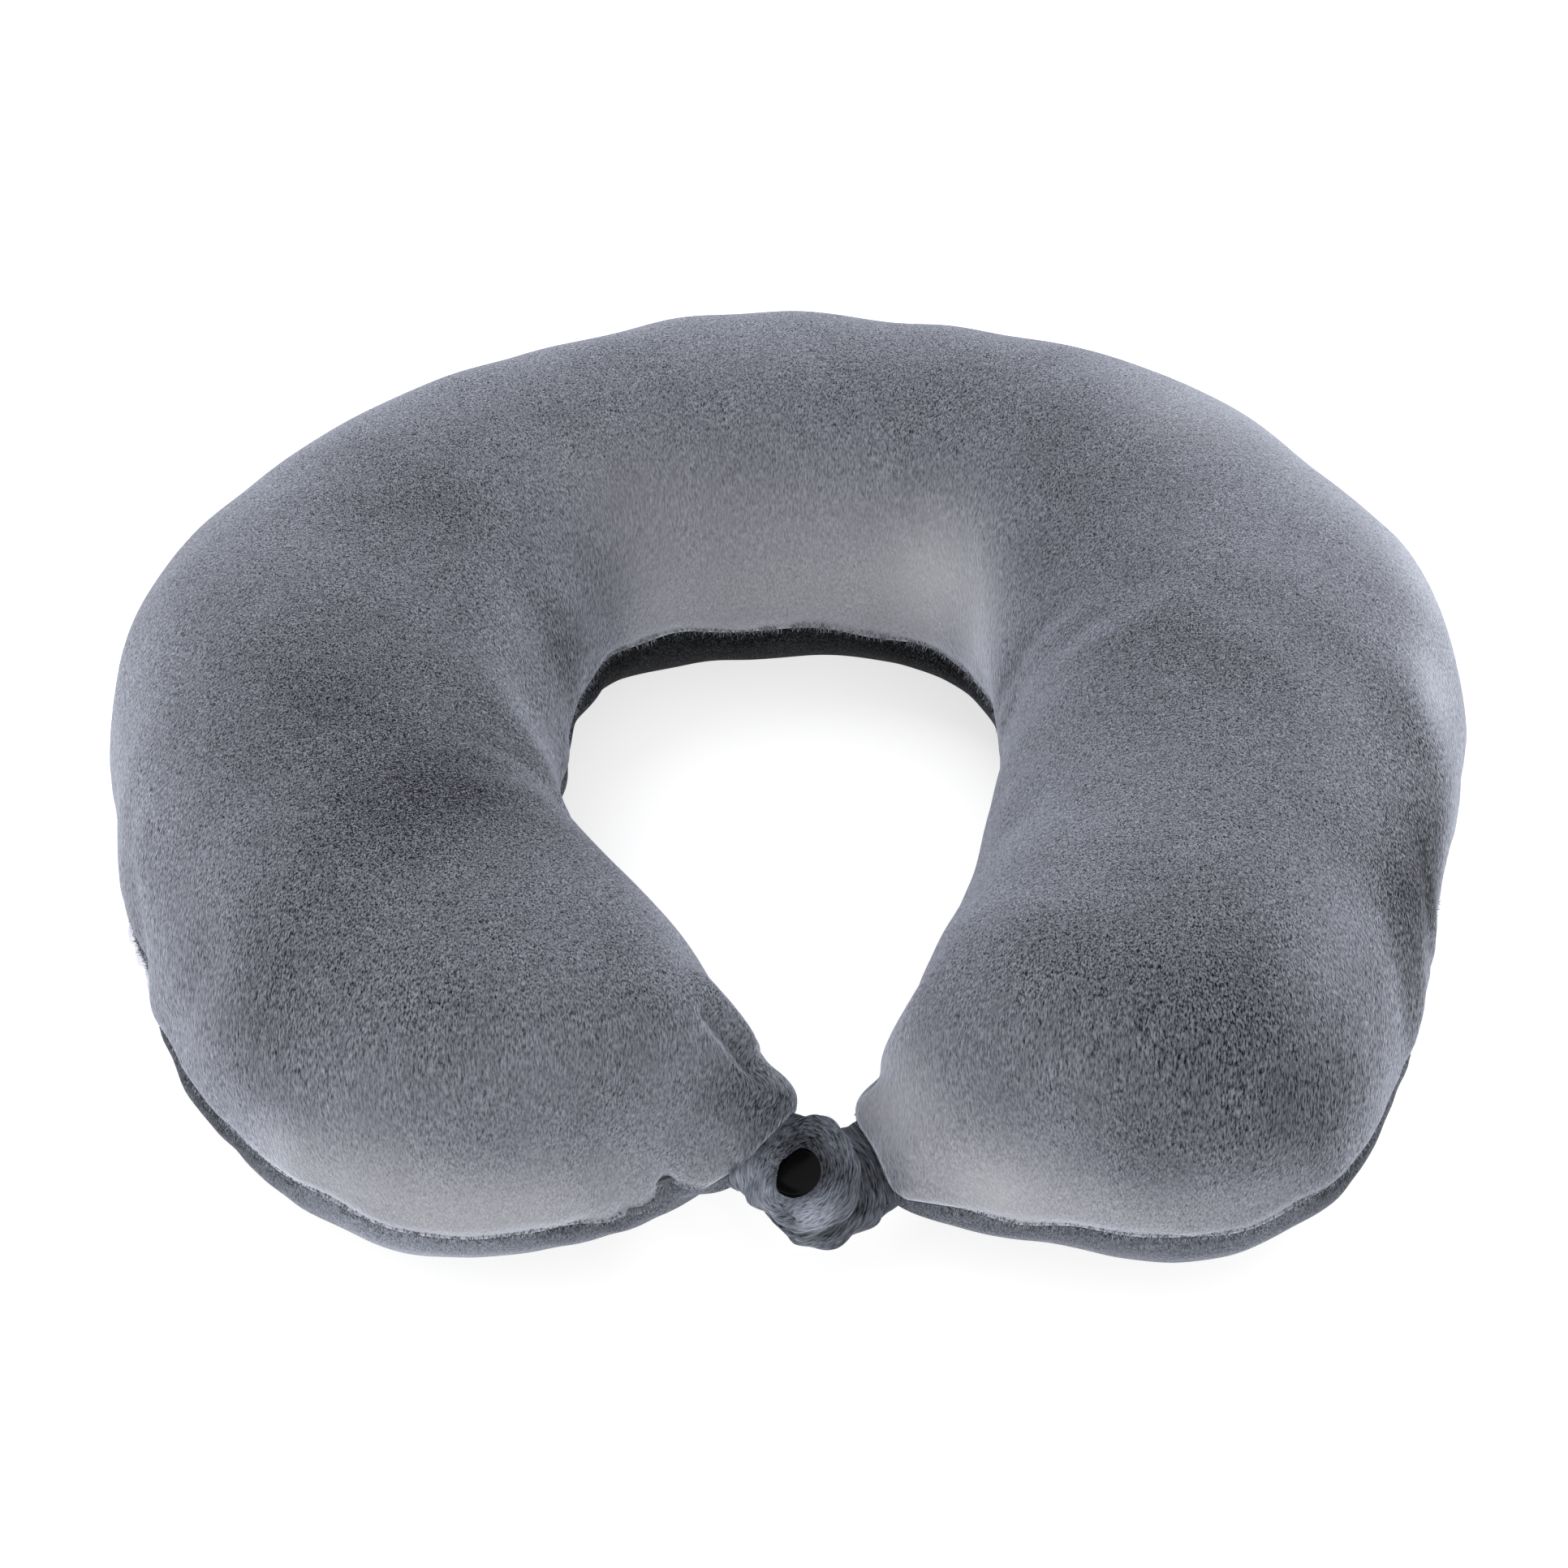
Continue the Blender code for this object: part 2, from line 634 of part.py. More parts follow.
def closure_tab(side, root, radii, drop, hardware):
    """One tab with its two plies and its half of the snap, hung from an empty on the fold line."""
    fold = fold_point(root)
    hinge = empty(f"{side}_tab_fold", tab_matrix(tab_point(fold.x, fold.y, -drop)))
    plies = [
        tab_ply(f"{side}_tab_upper_ply", root, radii, PLY_GAP / 2),
        tab_ply(f"{side}_tab_lower_ply", root, radii, -PLY_GAP / 2 - PLY_T),
    ]
    for ply in plies:
        ply.parent = hinge
    for piece in hardware:
        piece.parent = hinge
        piece.location = Vector((-fold.x, -fold.y, 0.0)) * MM


def care_label():
    """A folded satin label, sewn into the left-hand seam and lying along the bottom panel."""
    inner, outer = seam_ends(section_at(LABEL_STATION), 0.0)
    ahead = seam_ends(section_at(LABEL_STATION + 0.2), 0.0)[1]
    tangent = Vector(ahead - outer).normalized()
    down = Vector((0, 0, -1))
    outwards = tangent.cross(Vector((0, 0, 1)))
    if outwards.dot(Vector(outer - inner)) < 0:
        outwards = -outwards
    lie = (down * math.cos(LABEL_TUCK) - outwards * math.sin(LABEL_TUCK)).normalized()
    face = tangent.cross(lie)
    if face.dot(outwards) < 0:
        face = -face
    label = box(
        "care_label",
        (-LABEL_W / 2, 0.0, -LABEL_T / 2),
        (LABEL_W / 2, LABEL_DROP, LABEL_T / 2),
        SATIN,
    )
    matrix = Matrix((tangent, lie, face)).transposed().to_4x4()
    matrix.translation = (Vector(outer) + face * 1.6) * MM
    label.matrix_world = matrix
    return label


def clear_scene():
    for old in list(bpy.data.objects):
        bpy.data.objects.remove(old)


def build():
    foam_core()
    panel("cover_top_panel", 1, 9, LIGHT_VELOUR)
    panel("cover_bottom_panel", -1, 6, DARK_VELOUR)
    seam_thread("seam_thread_inner", 0, 0.6, LAST - 0.6)
    seam_thread("seam_thread_left", 1, 0.6, ZIP_FIRST - 0.3)
    seam_thread("seam_thread_right", 1, ZIP_LAST + 0.3, LAST - 0.6)
    zip_tape("zip_tape_upper", 1)
    zip_tape("zip_tape_lower", -1)
    zip_coil("zip_coil_upper", 1)
    zip_coil("zip_coil_lower", -1)
    margin = math.degrees(STOP_HALF_L / ARC_R)
    zip_stop("zip_stop_closed_end", ARC_LAST + margin)
    zip_stop("zip_stop_open_end", ARC_FIRST - margin)
    zip_slider()
    zip_pull()
    upper = [snap_cap("snap_cap_upper", 1), snap_socket()]
    lower = [snap_cap("snap_cap_lower", -1), snap_stud()]
    closure_tab("left", LEFT_ROOT, LEFT_TAB_R, 0.0, upper)
    closure_tab("right", RIGHT_ROOT, RIGHT_TAB_R, RIGHT_TAB_DROP, lower)
    care_label()


clear_scene()
build()
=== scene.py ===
"""Looks of the u-shaped neck pillow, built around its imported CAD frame.

The pillow lies on z = 0 with its back towards +Y and its two tips towards -Y. Shapes are worked out in
millimetres and become metres where a mesh is made.
"""

import math

import bpy
import numpy as np
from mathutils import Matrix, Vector


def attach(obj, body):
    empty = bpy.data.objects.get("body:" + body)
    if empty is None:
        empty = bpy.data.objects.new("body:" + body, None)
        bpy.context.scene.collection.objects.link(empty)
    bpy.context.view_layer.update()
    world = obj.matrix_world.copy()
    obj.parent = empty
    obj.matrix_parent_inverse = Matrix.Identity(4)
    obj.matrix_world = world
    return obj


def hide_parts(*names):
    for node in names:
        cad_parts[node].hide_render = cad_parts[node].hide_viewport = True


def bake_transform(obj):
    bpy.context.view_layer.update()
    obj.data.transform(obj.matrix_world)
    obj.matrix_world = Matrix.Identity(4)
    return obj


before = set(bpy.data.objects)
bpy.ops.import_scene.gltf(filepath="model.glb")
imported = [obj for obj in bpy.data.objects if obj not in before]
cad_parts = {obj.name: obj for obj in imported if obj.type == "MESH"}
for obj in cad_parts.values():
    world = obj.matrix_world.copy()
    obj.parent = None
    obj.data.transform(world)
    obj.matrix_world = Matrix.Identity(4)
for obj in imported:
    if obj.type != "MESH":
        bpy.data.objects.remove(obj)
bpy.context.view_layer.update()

MM = 0.001

# ---------------------------------------------------------------- the pillow's form, as in the CAD
ARC_X, ARC_Y, ARC_R = 0.3, -27.2, 163.5
ARC_FIRST, ARC_LAST, ARC_STEPS = 156.0, 24.0, 6
SEAM_Z = 25.0
TOP_POWER, BOTTOM_POWER = 2.15, 1.9
MOUTH_HALF = 3.2
# The arms are fuller just behind the tips: by how much, where and over what length in stations.
TIP_FULLNESS, TIP_FULL_AT, TIP_FULL_OVER = 3.0, 0.3, 0.22
# A panel's rim stands this far from the seam's plane along the zip, and this far where it is sewn.
ZIP_OPENING, CLOSED_RIM = 4.7, 0.15
# Half the length, in stations, over which the rims part at each end of the zip.
RIM_EASE = 0.12
SNAP = np.array((1.5, -118.7, 24.3))
TAB_HEADING, TAB_LEAN = math.radians(-7.0), math.radians(12.0)
LEFT_ROOT = ((-4.3, 16.0), (-12.4, -2.8))
RIGHT_ROOT = ((11.5, 20.5), (23.0, 2.6))
RIGHT_TAB_DROP = 6.9
# The cover's two mouths close a little nearer the snap than the tabs' seams do.
LEFT_MOUTH = ((-2.8, 16.2), (-11.6, -3.4))
RIGHT_MOUTH = ((10.6, 20.2), (21.0, 0.8))

CLOTH_T = 1.7
SECTIONS, TOP_COLUMNS, BOTTOM_COLUMNS = 460, 100, 64
# How much closer together the columns are near the seams.
COLUMN_BUNCHING = 0.11
# How deep and how wide the seams draw the cloth in.
SEAM_PINCH, SEAM_PINCH_WIDTH = 1.5, 2.6
# The square of the length over which the underside eases into the floor, and its height above it.
FLOOR_EASE, FLOOR_GAP = 1.2, 0.15
# The cloth simulation: its coarser grid, how much larger the cloth is cut than the form it wraps,
# and how much of its wrinkling is kept.
SIM_SECTIONS, SIM_TOP, SIM_BOTTOM = 150, 30, 18
SIM_FRAMES = 20
SIM_PRESSURE = 4.0
CUT_LARGER = 0.015
WRINKLE_SHARE, WRINKLE_LIMIT = 0.55, 2.0
# How often neighbours are averaged to take the grid's own steps out, and to find the broad fullness.
FINE_PASSES, BROAD_PASSES = 2, 120
# The pile lies forwards and down.
PILE_LAY = np.array((0.0, -0.50, -0.866))


def tab_axes():
    """The tabs' unit axes: p along them, q across them and n out of their upper face."""
    p = np.array((math.cos(TAB_HEADING), math.sin(TAB_HEADING), 0.0))
    level = np.array((-math.sin(TAB_HEADING), math.cos(TAB_HEADING), 0.0))
    q = level * math.cos(TAB_LEAN) + np.array((0.0, 0.0, math.sin(TAB_LEAN)))
    return p, q, np.cross(p, q)


AXIS_P, AXIS_Q, AXIS_N = tab_axes()


def tab_place(p, q, n):
    """Points given in the tabs' frame, round the snap, in the pillow's frame."""
    p, q, n = (np.asarray(v, float)[..., None] for v in (p, q, n))
    return SNAP + p * AXIS_P + q * AXIS_Q + n * AXIS_N


def stations():
    """Rows of inner x y z, outer x y z, height above the seam and depth below it, from left tip to right."""
    left_in, left_out = (tab_place(*end, 0.0) for end in LEFT_MOUTH)
    right_in, right_out = (tab_place(*end, -RIGHT_TAB_DROP) for end in RIGHT_MOUTH)
    z = SEAM_Z
    left_arm = [
        (*left_in, *left_out, MOUTH_HALF, MOUTH_HALF),
        (-6, -97, 27, -29, -125, 25, 32, 12),
        (-13, -86, 26, -48, -133, 25, 46, 16),
        (-20, -72, z, -71, -136, z, 55, 21),
        (-32, -55, z, -97, -127, z, 58, 25),
        (-43, -37, z, -123, -97, z, 59, 27),
        (-50, -15, z, -141, -57, z, 59, 27),
        (-50, 7, z, -151, -11, z, 58, 27),
    ]
    back_inner = [(-46, 33), (-35, 50), (-18, 56), (-2, 57), (15, 56), (33, 50), (44, 33)]
    back_height = [57, 54, 53, 54, 55, 58, 59]
    back = []
    for i, inner in enumerate(back_inner):
        angle = math.radians(ARC_FIRST + i * (ARC_LAST - ARC_FIRST) / ARC_STEPS)
        outer = (ARC_X + ARC_R * math.cos(angle), ARC_Y + ARC_R * math.sin(angle))
        back.append((*inner, z, *outer, z, back_height[i], 27))
    right_arm = [
        (48, 7, z, 150, -9, z, 59, 27),
        (45, -15, z, 141, -49, z, 59, 27),
        (40, -38, z, 130, -90, z, 59, 27),
        (35, -57, z, 107, -127, z, 58, 25),
        (29, -73, z, 81, -136, 24, 55, 21),
        (25, -83, 25, 56, -132, 23, 46, 16),
        (20, -91, 24, 38, -125, 20, 32, 12),
        (*right_in, *right_out, MOUTH_HALF, MOUTH_HALF),
    ]
    return np.array(left_arm + back + right_arm, float)


STATIONS = stations()
LAST = len(STATIONS) - 1
ZIP_FIRST = 8.0
ZIP_LAST = ZIP_FIRST + ARC_STEPS


def bend_rates(rows):
    """Second derivatives of the natural cubic spline through rows at whole-number knots."""
    count = len(rows)
    matrix = np.eye(count)
    right = np.zeros_like(rows)
    for i in range(1, count - 1):
        matrix[i, i - 1 : i + 2] = (1, 4, 1)
        right[i] = 6 * (rows[i - 1] - 2 * rows[i] + rows[i + 1])
    return np.linalg.solve(matrix, right)


RATES = bend_rates(STATIONS)


def rows_at(t):
    """The interpolated station rows at an array of fractional station numbers."""
    i = np.minimum(t.astype(int), LAST - 1)
    b = (t - i)[:, None]
    a = 1.0 - b
    rows = a * STATIONS[i] + b * STATIONS[i + 1]
    rows += ((a**3 - a) * RATES[i] + (b**3 - b) * RATES[i + 1]) / 6
    angle = np.radians(ARC_FIRST + (t - ZIP_FIRST) * (ARC_LAST - ARC_FIRST) / ARC_STEPS)
    on_arc = (t >= ZIP_FIRST) & (t <= ZIP_LAST)
    rows[on_arc, 3] = ARC_X + ARC_R * np.cos(angle[on_arc])
    rows[on_arc, 4] = ARC_Y + ARC_R * np.sin(angle[on_arc])
    rows[:, 6] += TIP_FULLNESS * np.exp(-(((t - TIP_FULL_AT) / TIP_FULL_OVER) ** 2))
    return rows


def smooth_step(x, low, high):
    """0 up to low and 1 from high on, with a smooth rise between them."""
    s = np.clip((x - low) / (high - low), 0.0, 1.0)
    return s * s * (3 - 2 * s)


def along_columns(points):
    """The length walked along each row of points from its first point, in millimetres."""
    steps = np.linalg.norm(np.diff(points, axis=1), axis=2)
    return np.concatenate([np.zeros((len(points), 1)), np.cumsum(steps, axis=1)], axis=1)


def resampled(values, walked, at):
    """Rows of values, known at the distances walked, read off at other distances."""
    return np.stack([np.interp(at, walked, values[:, k]) for k in range(values.shape[1])], axis=1)


def grid_normals(points):
    """Unit normals of a grid of points, by its rows' and columns' directions."""
    normal = np.cross(np.gradient(points, axis=0), np.gradient(points, axis=1))
    return normal / np.maximum(np.linalg.norm(normal, axis=2, keepdims=True), 1e-9)


def between(a, b, c, d, s):
    """The smooth curve through a, b, c and d at the share s of the way from b to c."""
    bend = a - 2.5 * b + 2 * c - d / 2
    twist = 1.5 * (b - c) + (d - a) / 2
    return b + (c - a) / 2 * s + bend * s**2 + twist * s**3


def open_spline(points, count):
    """A smooth open curve through arrays of points: points has shape (knots, curves, values)."""
    padded = np.concatenate([2 * points[:1] - points[1:2], points, 2 * points[-1:] - points[-2:-1]])
    spans = len(points) - 1
    curve = []
    for x in np.linspace(0.0, spans, count):
        i = min(int(x), spans - 1)
        curve.append(between(*padded[i : i + 4], x - i))
    return np.array(curve)


def waves(points, length, seed, count=24):
    """A smooth random field of about unit spread over points, made of plane waves near one length."""
    rng = np.random.default_rng(seed)
    directions = rng.normal(size=(count, 3))
    directions /= np.linalg.norm(directions, axis=1, keepdims=True)
    pitch = 2 * math.pi / (length * rng.uniform(0.7, 1.4, count))
    phase = rng.uniform(0, 2 * math.pi, count)
    field = np.zeros(points.shape[:-1])
    for way, rate, start in zip(directions, pitch, phase):
        field += np.cos(points @ way * rate + start)
    return field / math.sqrt(count / 2)


def ridge(points, start, end, width):
    """1 along the line from start to end, fading out over width around it."""
    start, end = np.array(start, float), np.array(end, float)
    line = end - start
    share = np.clip(((points - start) @ line) / (line @ line), 0.0, 1.0)
    away = np.linalg.norm(points - start - share[..., None] * line, axis=-1)
    return np.exp(-((away / width) ** 2))


def spot(points, centre, radius):
    """1 at the centre, fading out over the radius around it."""
    away = np.linalg.norm(points - np.array(centre, float), axis=-1)
    return np.exp(-((away / radius) ** 2))


# Folds in the cover: start, end, width and how far the cloth stands out of the smooth form there.
FOLDS = [
    # pleats at the front of the left tip, and the fullness between them
    ((-25.5, -126, 38), (-24, -124, 24), 2.2, -2.8),
    ((-14, -121, 36), (-11, -119, 25), 2.2, -2.8),
    ((-19, -124, 34), (-18, -122, 26), 4.5, 1.8),
    ((-36, -129, 44), (-33, -127, 27), 4.0, -1.3),
    # folds inside the left tip
    ((-20, -97, 54), (-9.5, -95, 38), 3.4, 2.4),
    ((-20, -103, 54), (-8.5, -99.5, 36), 2.2, -2.4),
    ((-17, -100, 62), (-9, -104, 50), 3.6, 2.0),
    ((-16, -106, 60), (-8, -108, 45), 2.4, -2.6),
    ((-14, -112, 52), (-5, -108, 38), 3.6, 2.0),
    # the right tip's bulge and the notch before it
    ((24, -88, 46), (21, -92, 32), 5.0, -1.4),
    ((32, -104, 48), (19, -97, 30), 3.0, -3.4),
    ((27, -117, 33), (24, -112, 26), 4.5, 2.2),
    # wrinkles drawn from the neck opening's two front corners
    ((-49, -44, 55), (-66, -52, 80), 2.8, -1.1),
    ((-46, -38, 50), (-68, -40, 79), 3.2, -0.9),
    ((-50, -50, 62), (-66, -62, 82), 3.0, 0.8),
    ((46, 18, 34), (62, 14, 72), 3.0, -0.9),
    ((48, 10, 36), (66, 2, 76), 3.2, -0.8),
    ((49, 2, 38), (68, -8, 78), 3.6, 0.7),
    # soft dents in the outer side of the right arm
    ((135, -50, 62), (141, -64, 38), 8.0, -1.5),
    ((128, -80, 62), (134, -92, 36), 7.0, -1.1),
    ((137, -72, 52), (140, -78, 34), 6.0, 0.8),
    ((-137, -38, 50), (-140, -62, 30), 7.0, -1.6),
    ((-120, -88, 58), (-128, -86, 34), 6.0, -1.2),
]

# Places where a seam is drawn up (+) or sags (-): centre in plan, radius and rise.
LIFTS = [
    ((-97.0, -127.0), 14.0, 2.2),
    ((-128.0, -88.0), 15.0, -2.6),
    ((-48.0, -133.0), 8.0, -1.6),
    ((-34.0, -127.0), 8.5, -6.8),
    ((-28.5, -125.0), 2.6, -2.2),
    ((-24.2, -123.4), 2.0, 1.0),
    ((-12.5, -120.9), 4.0, 2.4),
    ((47.0, -129.0), 10.0, -3.2),
    ((-84.0, -132.0), 14.0, -1.2),
    ((-62.0, -134.0), 12.0, -2.0),
    ((-24.0, 52.0), 9.0, -0.9),
    ((2.0, 53.0), 30.0, -2.3),
    ((22.0, 52.0), 9.0, -1.2),
    ((118.0, -111.0), 16.0, -3.6),
]

# Places where the cloth is pushed over as a whole: centre, radius and shift.
PUSHES = [
    ((-1.5, -107.0, 33.0), 7.0, (2.6, 0.4, 0.8)),
    ((15.0, -103.5, 27.0), 6.5, (-2.8, 0.4, 0.5)),
]

# Patches painted lighter (+) or darker (-), partly where the pile has been stroked and partly painted light
# and shade: centre, radius, strength.
NAP_AND_PAINTED_LIGHT_SPOTS = [
    # the back: a light patch inside it, darker shoulders
    ((7, 60, 46), 22, 0.62),
    ((36, 50, 46), 16, 1.30),
    ((46, 36, 40), 10, 0.55),
    ((-28, 52, 52), 22, 0.58),
    ((-48, 62, 70), 18, 0.22),
    ((-4, 84, 70), 18, 0.14),
    ((4, 70, 72), 14, -0.12),
    ((66, 56, 76), 20, -0.14),
    ((60, 34, 66), 13, -0.18),
    ((-75, 43, 78), 18, -0.14),
    ((100, 62, 64), 24, 0.44),
    ((134, 26, 64), 20, 0.38),
    # the left arm and lobe
    ((-95, -36, 83), 26, -0.34),
    ((-128, 14, 68), 20, 0.02),
    ((-82, 14, 80), 20, -0.22),
    ((-60, -28, 62), 13, -0.32),
    ((-54, -30, 46), 12, -0.18),
    ((-48, 22, 46), 12, -0.34),
    ((-66, -64, 80), 22, -0.36),
    ((-84, -72, 84), 26, -0.22),
    ((-65, -119, 71), 14, -0.16),
    ((-106, -106, 60), 22, -0.30),
    ((-140, -52, 44), 16, -0.20),
    ((-84, -131, 38), 14, 0.40),
    ((-102, -121, 32), 11, 0.50),
    ((-68, -136, 31), 12, 0.45),
    ((-50, -133, 30), 10, 0.35),
    ((-22, -122, 34), 9, -0.30),
    ((-12, -112, 44), 9, -0.40),
    ((-6, -108, 34), 6, -0.40),
    ((-34, -116, 66), 12, -0.10),
    ((-95, 32, 82), 12, -0.12),
    ((-44, -70, 60), 13, -0.14),
    ((-24, -94, 56), 9, -0.14),
    # the right arm and lobe
    ((84, -122, 62), 22, -0.34),
    ((60, -112, 66), 16, -0.26),
    ((84, -80, 84), 26, -0.06),
    ((84, -16, 82), 26, -0.16),
    ((44, 16, 48), 10, -0.20),
    ((134, -20, 60), 15, -0.50),
    ((140, -46, 48), 15, -0.70),
    ((134, -66, 56), 15, -0.50),
    ((136, -82, 40), 13, -0.45),
    ((112, 0, 80), 18, 0.10),
    ((128, -32, 70), 11, -0.24),
    ((127, -53, 66), 11, -0.28),
    ((124, -74, 62), 11, -0.28),
    ((120, -92, 57), 10, -0.22),
    ((119, -105, 46), 9, -0.16),
    ((140, -6, 60), 11, 0.70),
    ((88, 62, 82), 18, 0.14),
    ((116, 42, 80), 16, 0.14),
    ((82, 72, 76), 16, 0.16),
    ((143, -58, 40), 9, -0.45),
    ((108, -122, 44), 18, -0.40),
    ((112, -90, 70), 12, 0.12),
    ((62, -134, 32), 10, 0.20),
    ((70, -133, 43), 10, -0.24),
    ((42, -127, 29), 11, 0.75),
    ((18, -105, 31), 8, 0.45),
    ((25, -110, 36), 12, 0.88),
    ((22, -96, 46), 10, 0.25),
]


def pile_coordinates(points):
    """Each point's place measured across the pile's lay, twice, and along it."""
    across = np.array((1.0, 0.0, 0.0))
    return points @ np.stack([across, np.cross(PILE_LAY, across), PILE_LAY], axis=1)


def rim_rise(t):
    """How far a panel's outer rim stands from the seam plane: wide along the zip, closed elsewhere."""
    begun = smooth_step(t, ZIP_FIRST - RIM_EASE, ZIP_FIRST + RIM_EASE)
    not_over = smooth_step(-t, -ZIP_LAST - RIM_EASE, -ZIP_LAST + RIM_EASE)
    return CLOSED_RIM + (ZIP_OPENING - CLOSED_RIM) * (begun * not_over)


def panel_form(t, columns, sign):
    """The smooth form of one half of the cover, from its outer rim over to its inner one."""
    rows = rows_at(t)
    power, height = (TOP_POWER, rows[:, 6]) if sign > 0 else (BOTTOM_POWER, rows[:, 7])
    first = np.arcsin((rim_rise(t) / height) ** (power / 2))
    last = math.pi - np.arcsin((CLOSED_RIM / height) ** (power / 2))
    share = np.linspace(0.0, 1.0, columns)
    share = share - COLUMN_BUNCHING * np.sin(2 * math.pi * share)
    phi = first[:, None] + (last - first)[:, None] * share
    c, s = np.cos(phi), np.sin(phi)
    u = np.sign(c) * np.abs(c) ** (2 / power)
    k = np.abs(s) ** (2 / power)
    inner, outer = rows[:, None, 0:3], rows[:, None, 3:6]
    points = (inner + outer) / 2 + (outer - inner) / 2 * u[..., None]
    points[..., 2] += sign * k * height[:, None]
    if sign < 0:
        points[..., 2] = (points[..., 2] + np.sqrt(points[..., 2] ** 2 + FLOOR_EASE)) / 2
    return points


def evened(values, axis, passes):
    """Values of a grid averaged with their neighbours along one axis, a number of times over."""
    values = np.moveaxis(values, axis, 0).copy()
    for _ in range(passes):
        values[1:-1] = (values[:-2] + 2 * values[1:-1] + values[2:]) / 4
    return np.moveaxis(values, 0, axis)


def cloth_wrinkles():
    """Simulates the cover's cloth, held at its seams, and returns each panel's wrinkles on a coarse grid."""
    t = np.linspace(0.0, LAST, SIM_SECTIONS)
    sleeve = np.concatenate([panel_form(t, SIM_TOP, 1), panel_form(t, SIM_BOTTOM, -1)[:, ::-1]], axis=1)
    rows, columns = sleeve.shape[:2]
    mesh = mesh_from("cover_cloth", sleeve, grid_faces(rows, columns, wrap_columns=True).tolist())
    made = bpy.data.objects.new("cover_cloth", mesh)
    bpy.context.scene.collection.objects.link(made)
    number = np.arange(rows * columns).reshape(rows, columns)
    seams = number[:, (0, SIM_TOP - 1, SIM_TOP, columns - 1)]
    held = np.unique(np.concatenate([seams.ravel(), number[0], number[-1]]))
    made.vertex_groups.new(name="held").add(held.tolist(), 1.0, "ADD")
    cloth = made.modifiers.new("cloth", "CLOTH")
    cloth.settings.vertex_group_mass = "held"
    cloth.settings.use_pressure = True
    cloth.settings.uniform_pressure_force = SIM_PRESSURE
    cloth.settings.shrink_min = -CUT_LARGER
    cloth.settings.effector_weights.gravity = 0.0
    cloth.point_cache.frame_start, cloth.point_cache.frame_end = 1, SIM_FRAMES
    for frame_number in range(1, SIM_FRAMES + 1):
        bpy.context.scene.frame_set(frame_number)
    bake(made)
    settled = np.zeros(rows * columns * 3)
    made.data.vertices.foreach_get("co", settled)
    bpy.data.meshes.remove(made.data)
    bpy.context.scene.frame_set(1)
    moved = settled.reshape(rows, columns, 3) / MM - sleeve
    # Only the wrinkles are kept: the fullness that the whole cover gained is taken off again.
    wrinkles = evened(evened(moved, 0, FINE_PASSES) - evened(moved, 0, BROAD_PASSES), 1, 1)
    size = np.linalg.norm(wrinkles, axis=2, keepdims=True)
    wrinkles *= WRINKLE_SHARE * np.minimum(1.0, WRINKLE_LIMIT / np.maximum(size, 1e-6))
    return wrinkles[:, :SIM_TOP], wrinkles[:, : SIM_TOP - 1 : -1]


def dress(points, t, sign, wrinkles):
    """The form with its wrinkles, folds, seam puckers and soft unevenness, and the bare form's normals."""
    normal = grid_normals(points)
    if (normal[..., 2] * sign).mean() < 0:
        normal = -normal
    from_outer = along_columns(points)
    from_inner = from_outer[:, -1:] - from_outer
    near = np.minimum(from_outer, from_inner)
    tip = np.exp(-t / 1.2) + np.exp(-(LAST - t) / 1.2)
    # Broad unevenness dies out towards the seams, and small unevenness is everywhere.
    out = waves(points, 75.0, 11) * 0.7 * (1 - np.exp(-near / 25))
    out += waves(points, 26.0, 12) * 0.22
    # Puckers run across the seam, so they change only along it.
    for edge, seed in ((0, 21), (-1, 22)):
        rim = points[:, edge : edge + 1 or None, :]
        reach = from_outer if edge == 0 else from_inner
        gather = waves(rim, 11.0, seed) * (0.22 + 0.9 * tip[:, None]) + waves(rim, 30.0, seed + 4) * 0.5
        out += gather * np.exp(-reach / 9.0) * (1 - np.exp(-reach / 1.5))
    out -= SEAM_PINCH * np.exp(-((near / SEAM_PINCH_WIDTH) ** 2))
    for start, end, width, depth in FOLDS:
        out += depth * ridge(points, start, end, width)
    if sign < 0:
        out *= smooth_step(points[..., 2], 0.5, 8.0)
    finer = open_spline(wrinkles, points.shape[0])
    finer = open_spline(finer.swapaxes(0, 1), points.shape[1]).swapaxes(0, 1)
    shaped = points + normal * out[..., None] + finer
    for centre, radius, shift in PUSHES:
        shaped = shaped + spot(points, centre, radius)[..., None] * np.array(shift)
    # The seam line itself wanders a little, the same for both panels.
    for edge, seed in ((0, 31), (-1, 32)):
        rim = points[:, edge : edge + 1 or None, :] * (1.0, 1.0, 0.0)
        reach = from_outer if edge == 0 else from_inner
        wander = waves(rim, 24.0, seed) * 0.45 + waves(rim, 60.0, seed + 5) * 0.6
        for centre, radius, rise in LIFTS:
            wander = wander + rise * spot(rim[..., :2], centre, radius)
        shaped[..., 2] += wander * np.exp(-reach / 10.0)
    if sign < 0:
        shaped[..., 2] = np.maximum(shaped[..., 2], FLOOR_GAP)
    return shaped, normal


def link(name, mesh, look):
    """Puts a mesh into the scene as an object with one material."""
    mesh.materials.append(look)
    made = bpy.data.objects.new(name, mesh)
    bpy.context.scene.collection.objects.link(made)
    return made


def put_vectors(mesh, name, values):
    layer = mesh.attributes.new(name, "FLOAT_VECTOR", "POINT")
    layer.data.foreach_set("vector", np.ascontiguousarray(values, np.float32).ravel())


def put_numbers(mesh, name, values):
    layer = mesh.attributes.new(name, "FLOAT", "POINT")
    layer.data.foreach_set("value", np.ascontiguousarray(values, np.float32).ravel())


def mesh_from(name, points, faces):
    """A smooth mesh of points in millimetres, in any array shape, and lists of their numbers."""
    mesh = bpy.data.meshes.new(name)
    mesh.from_pydata((points.reshape(-1, 3) * MM).tolist(), [], faces)
    mesh.validate()
    mesh.shade_smooth()
    return mesh


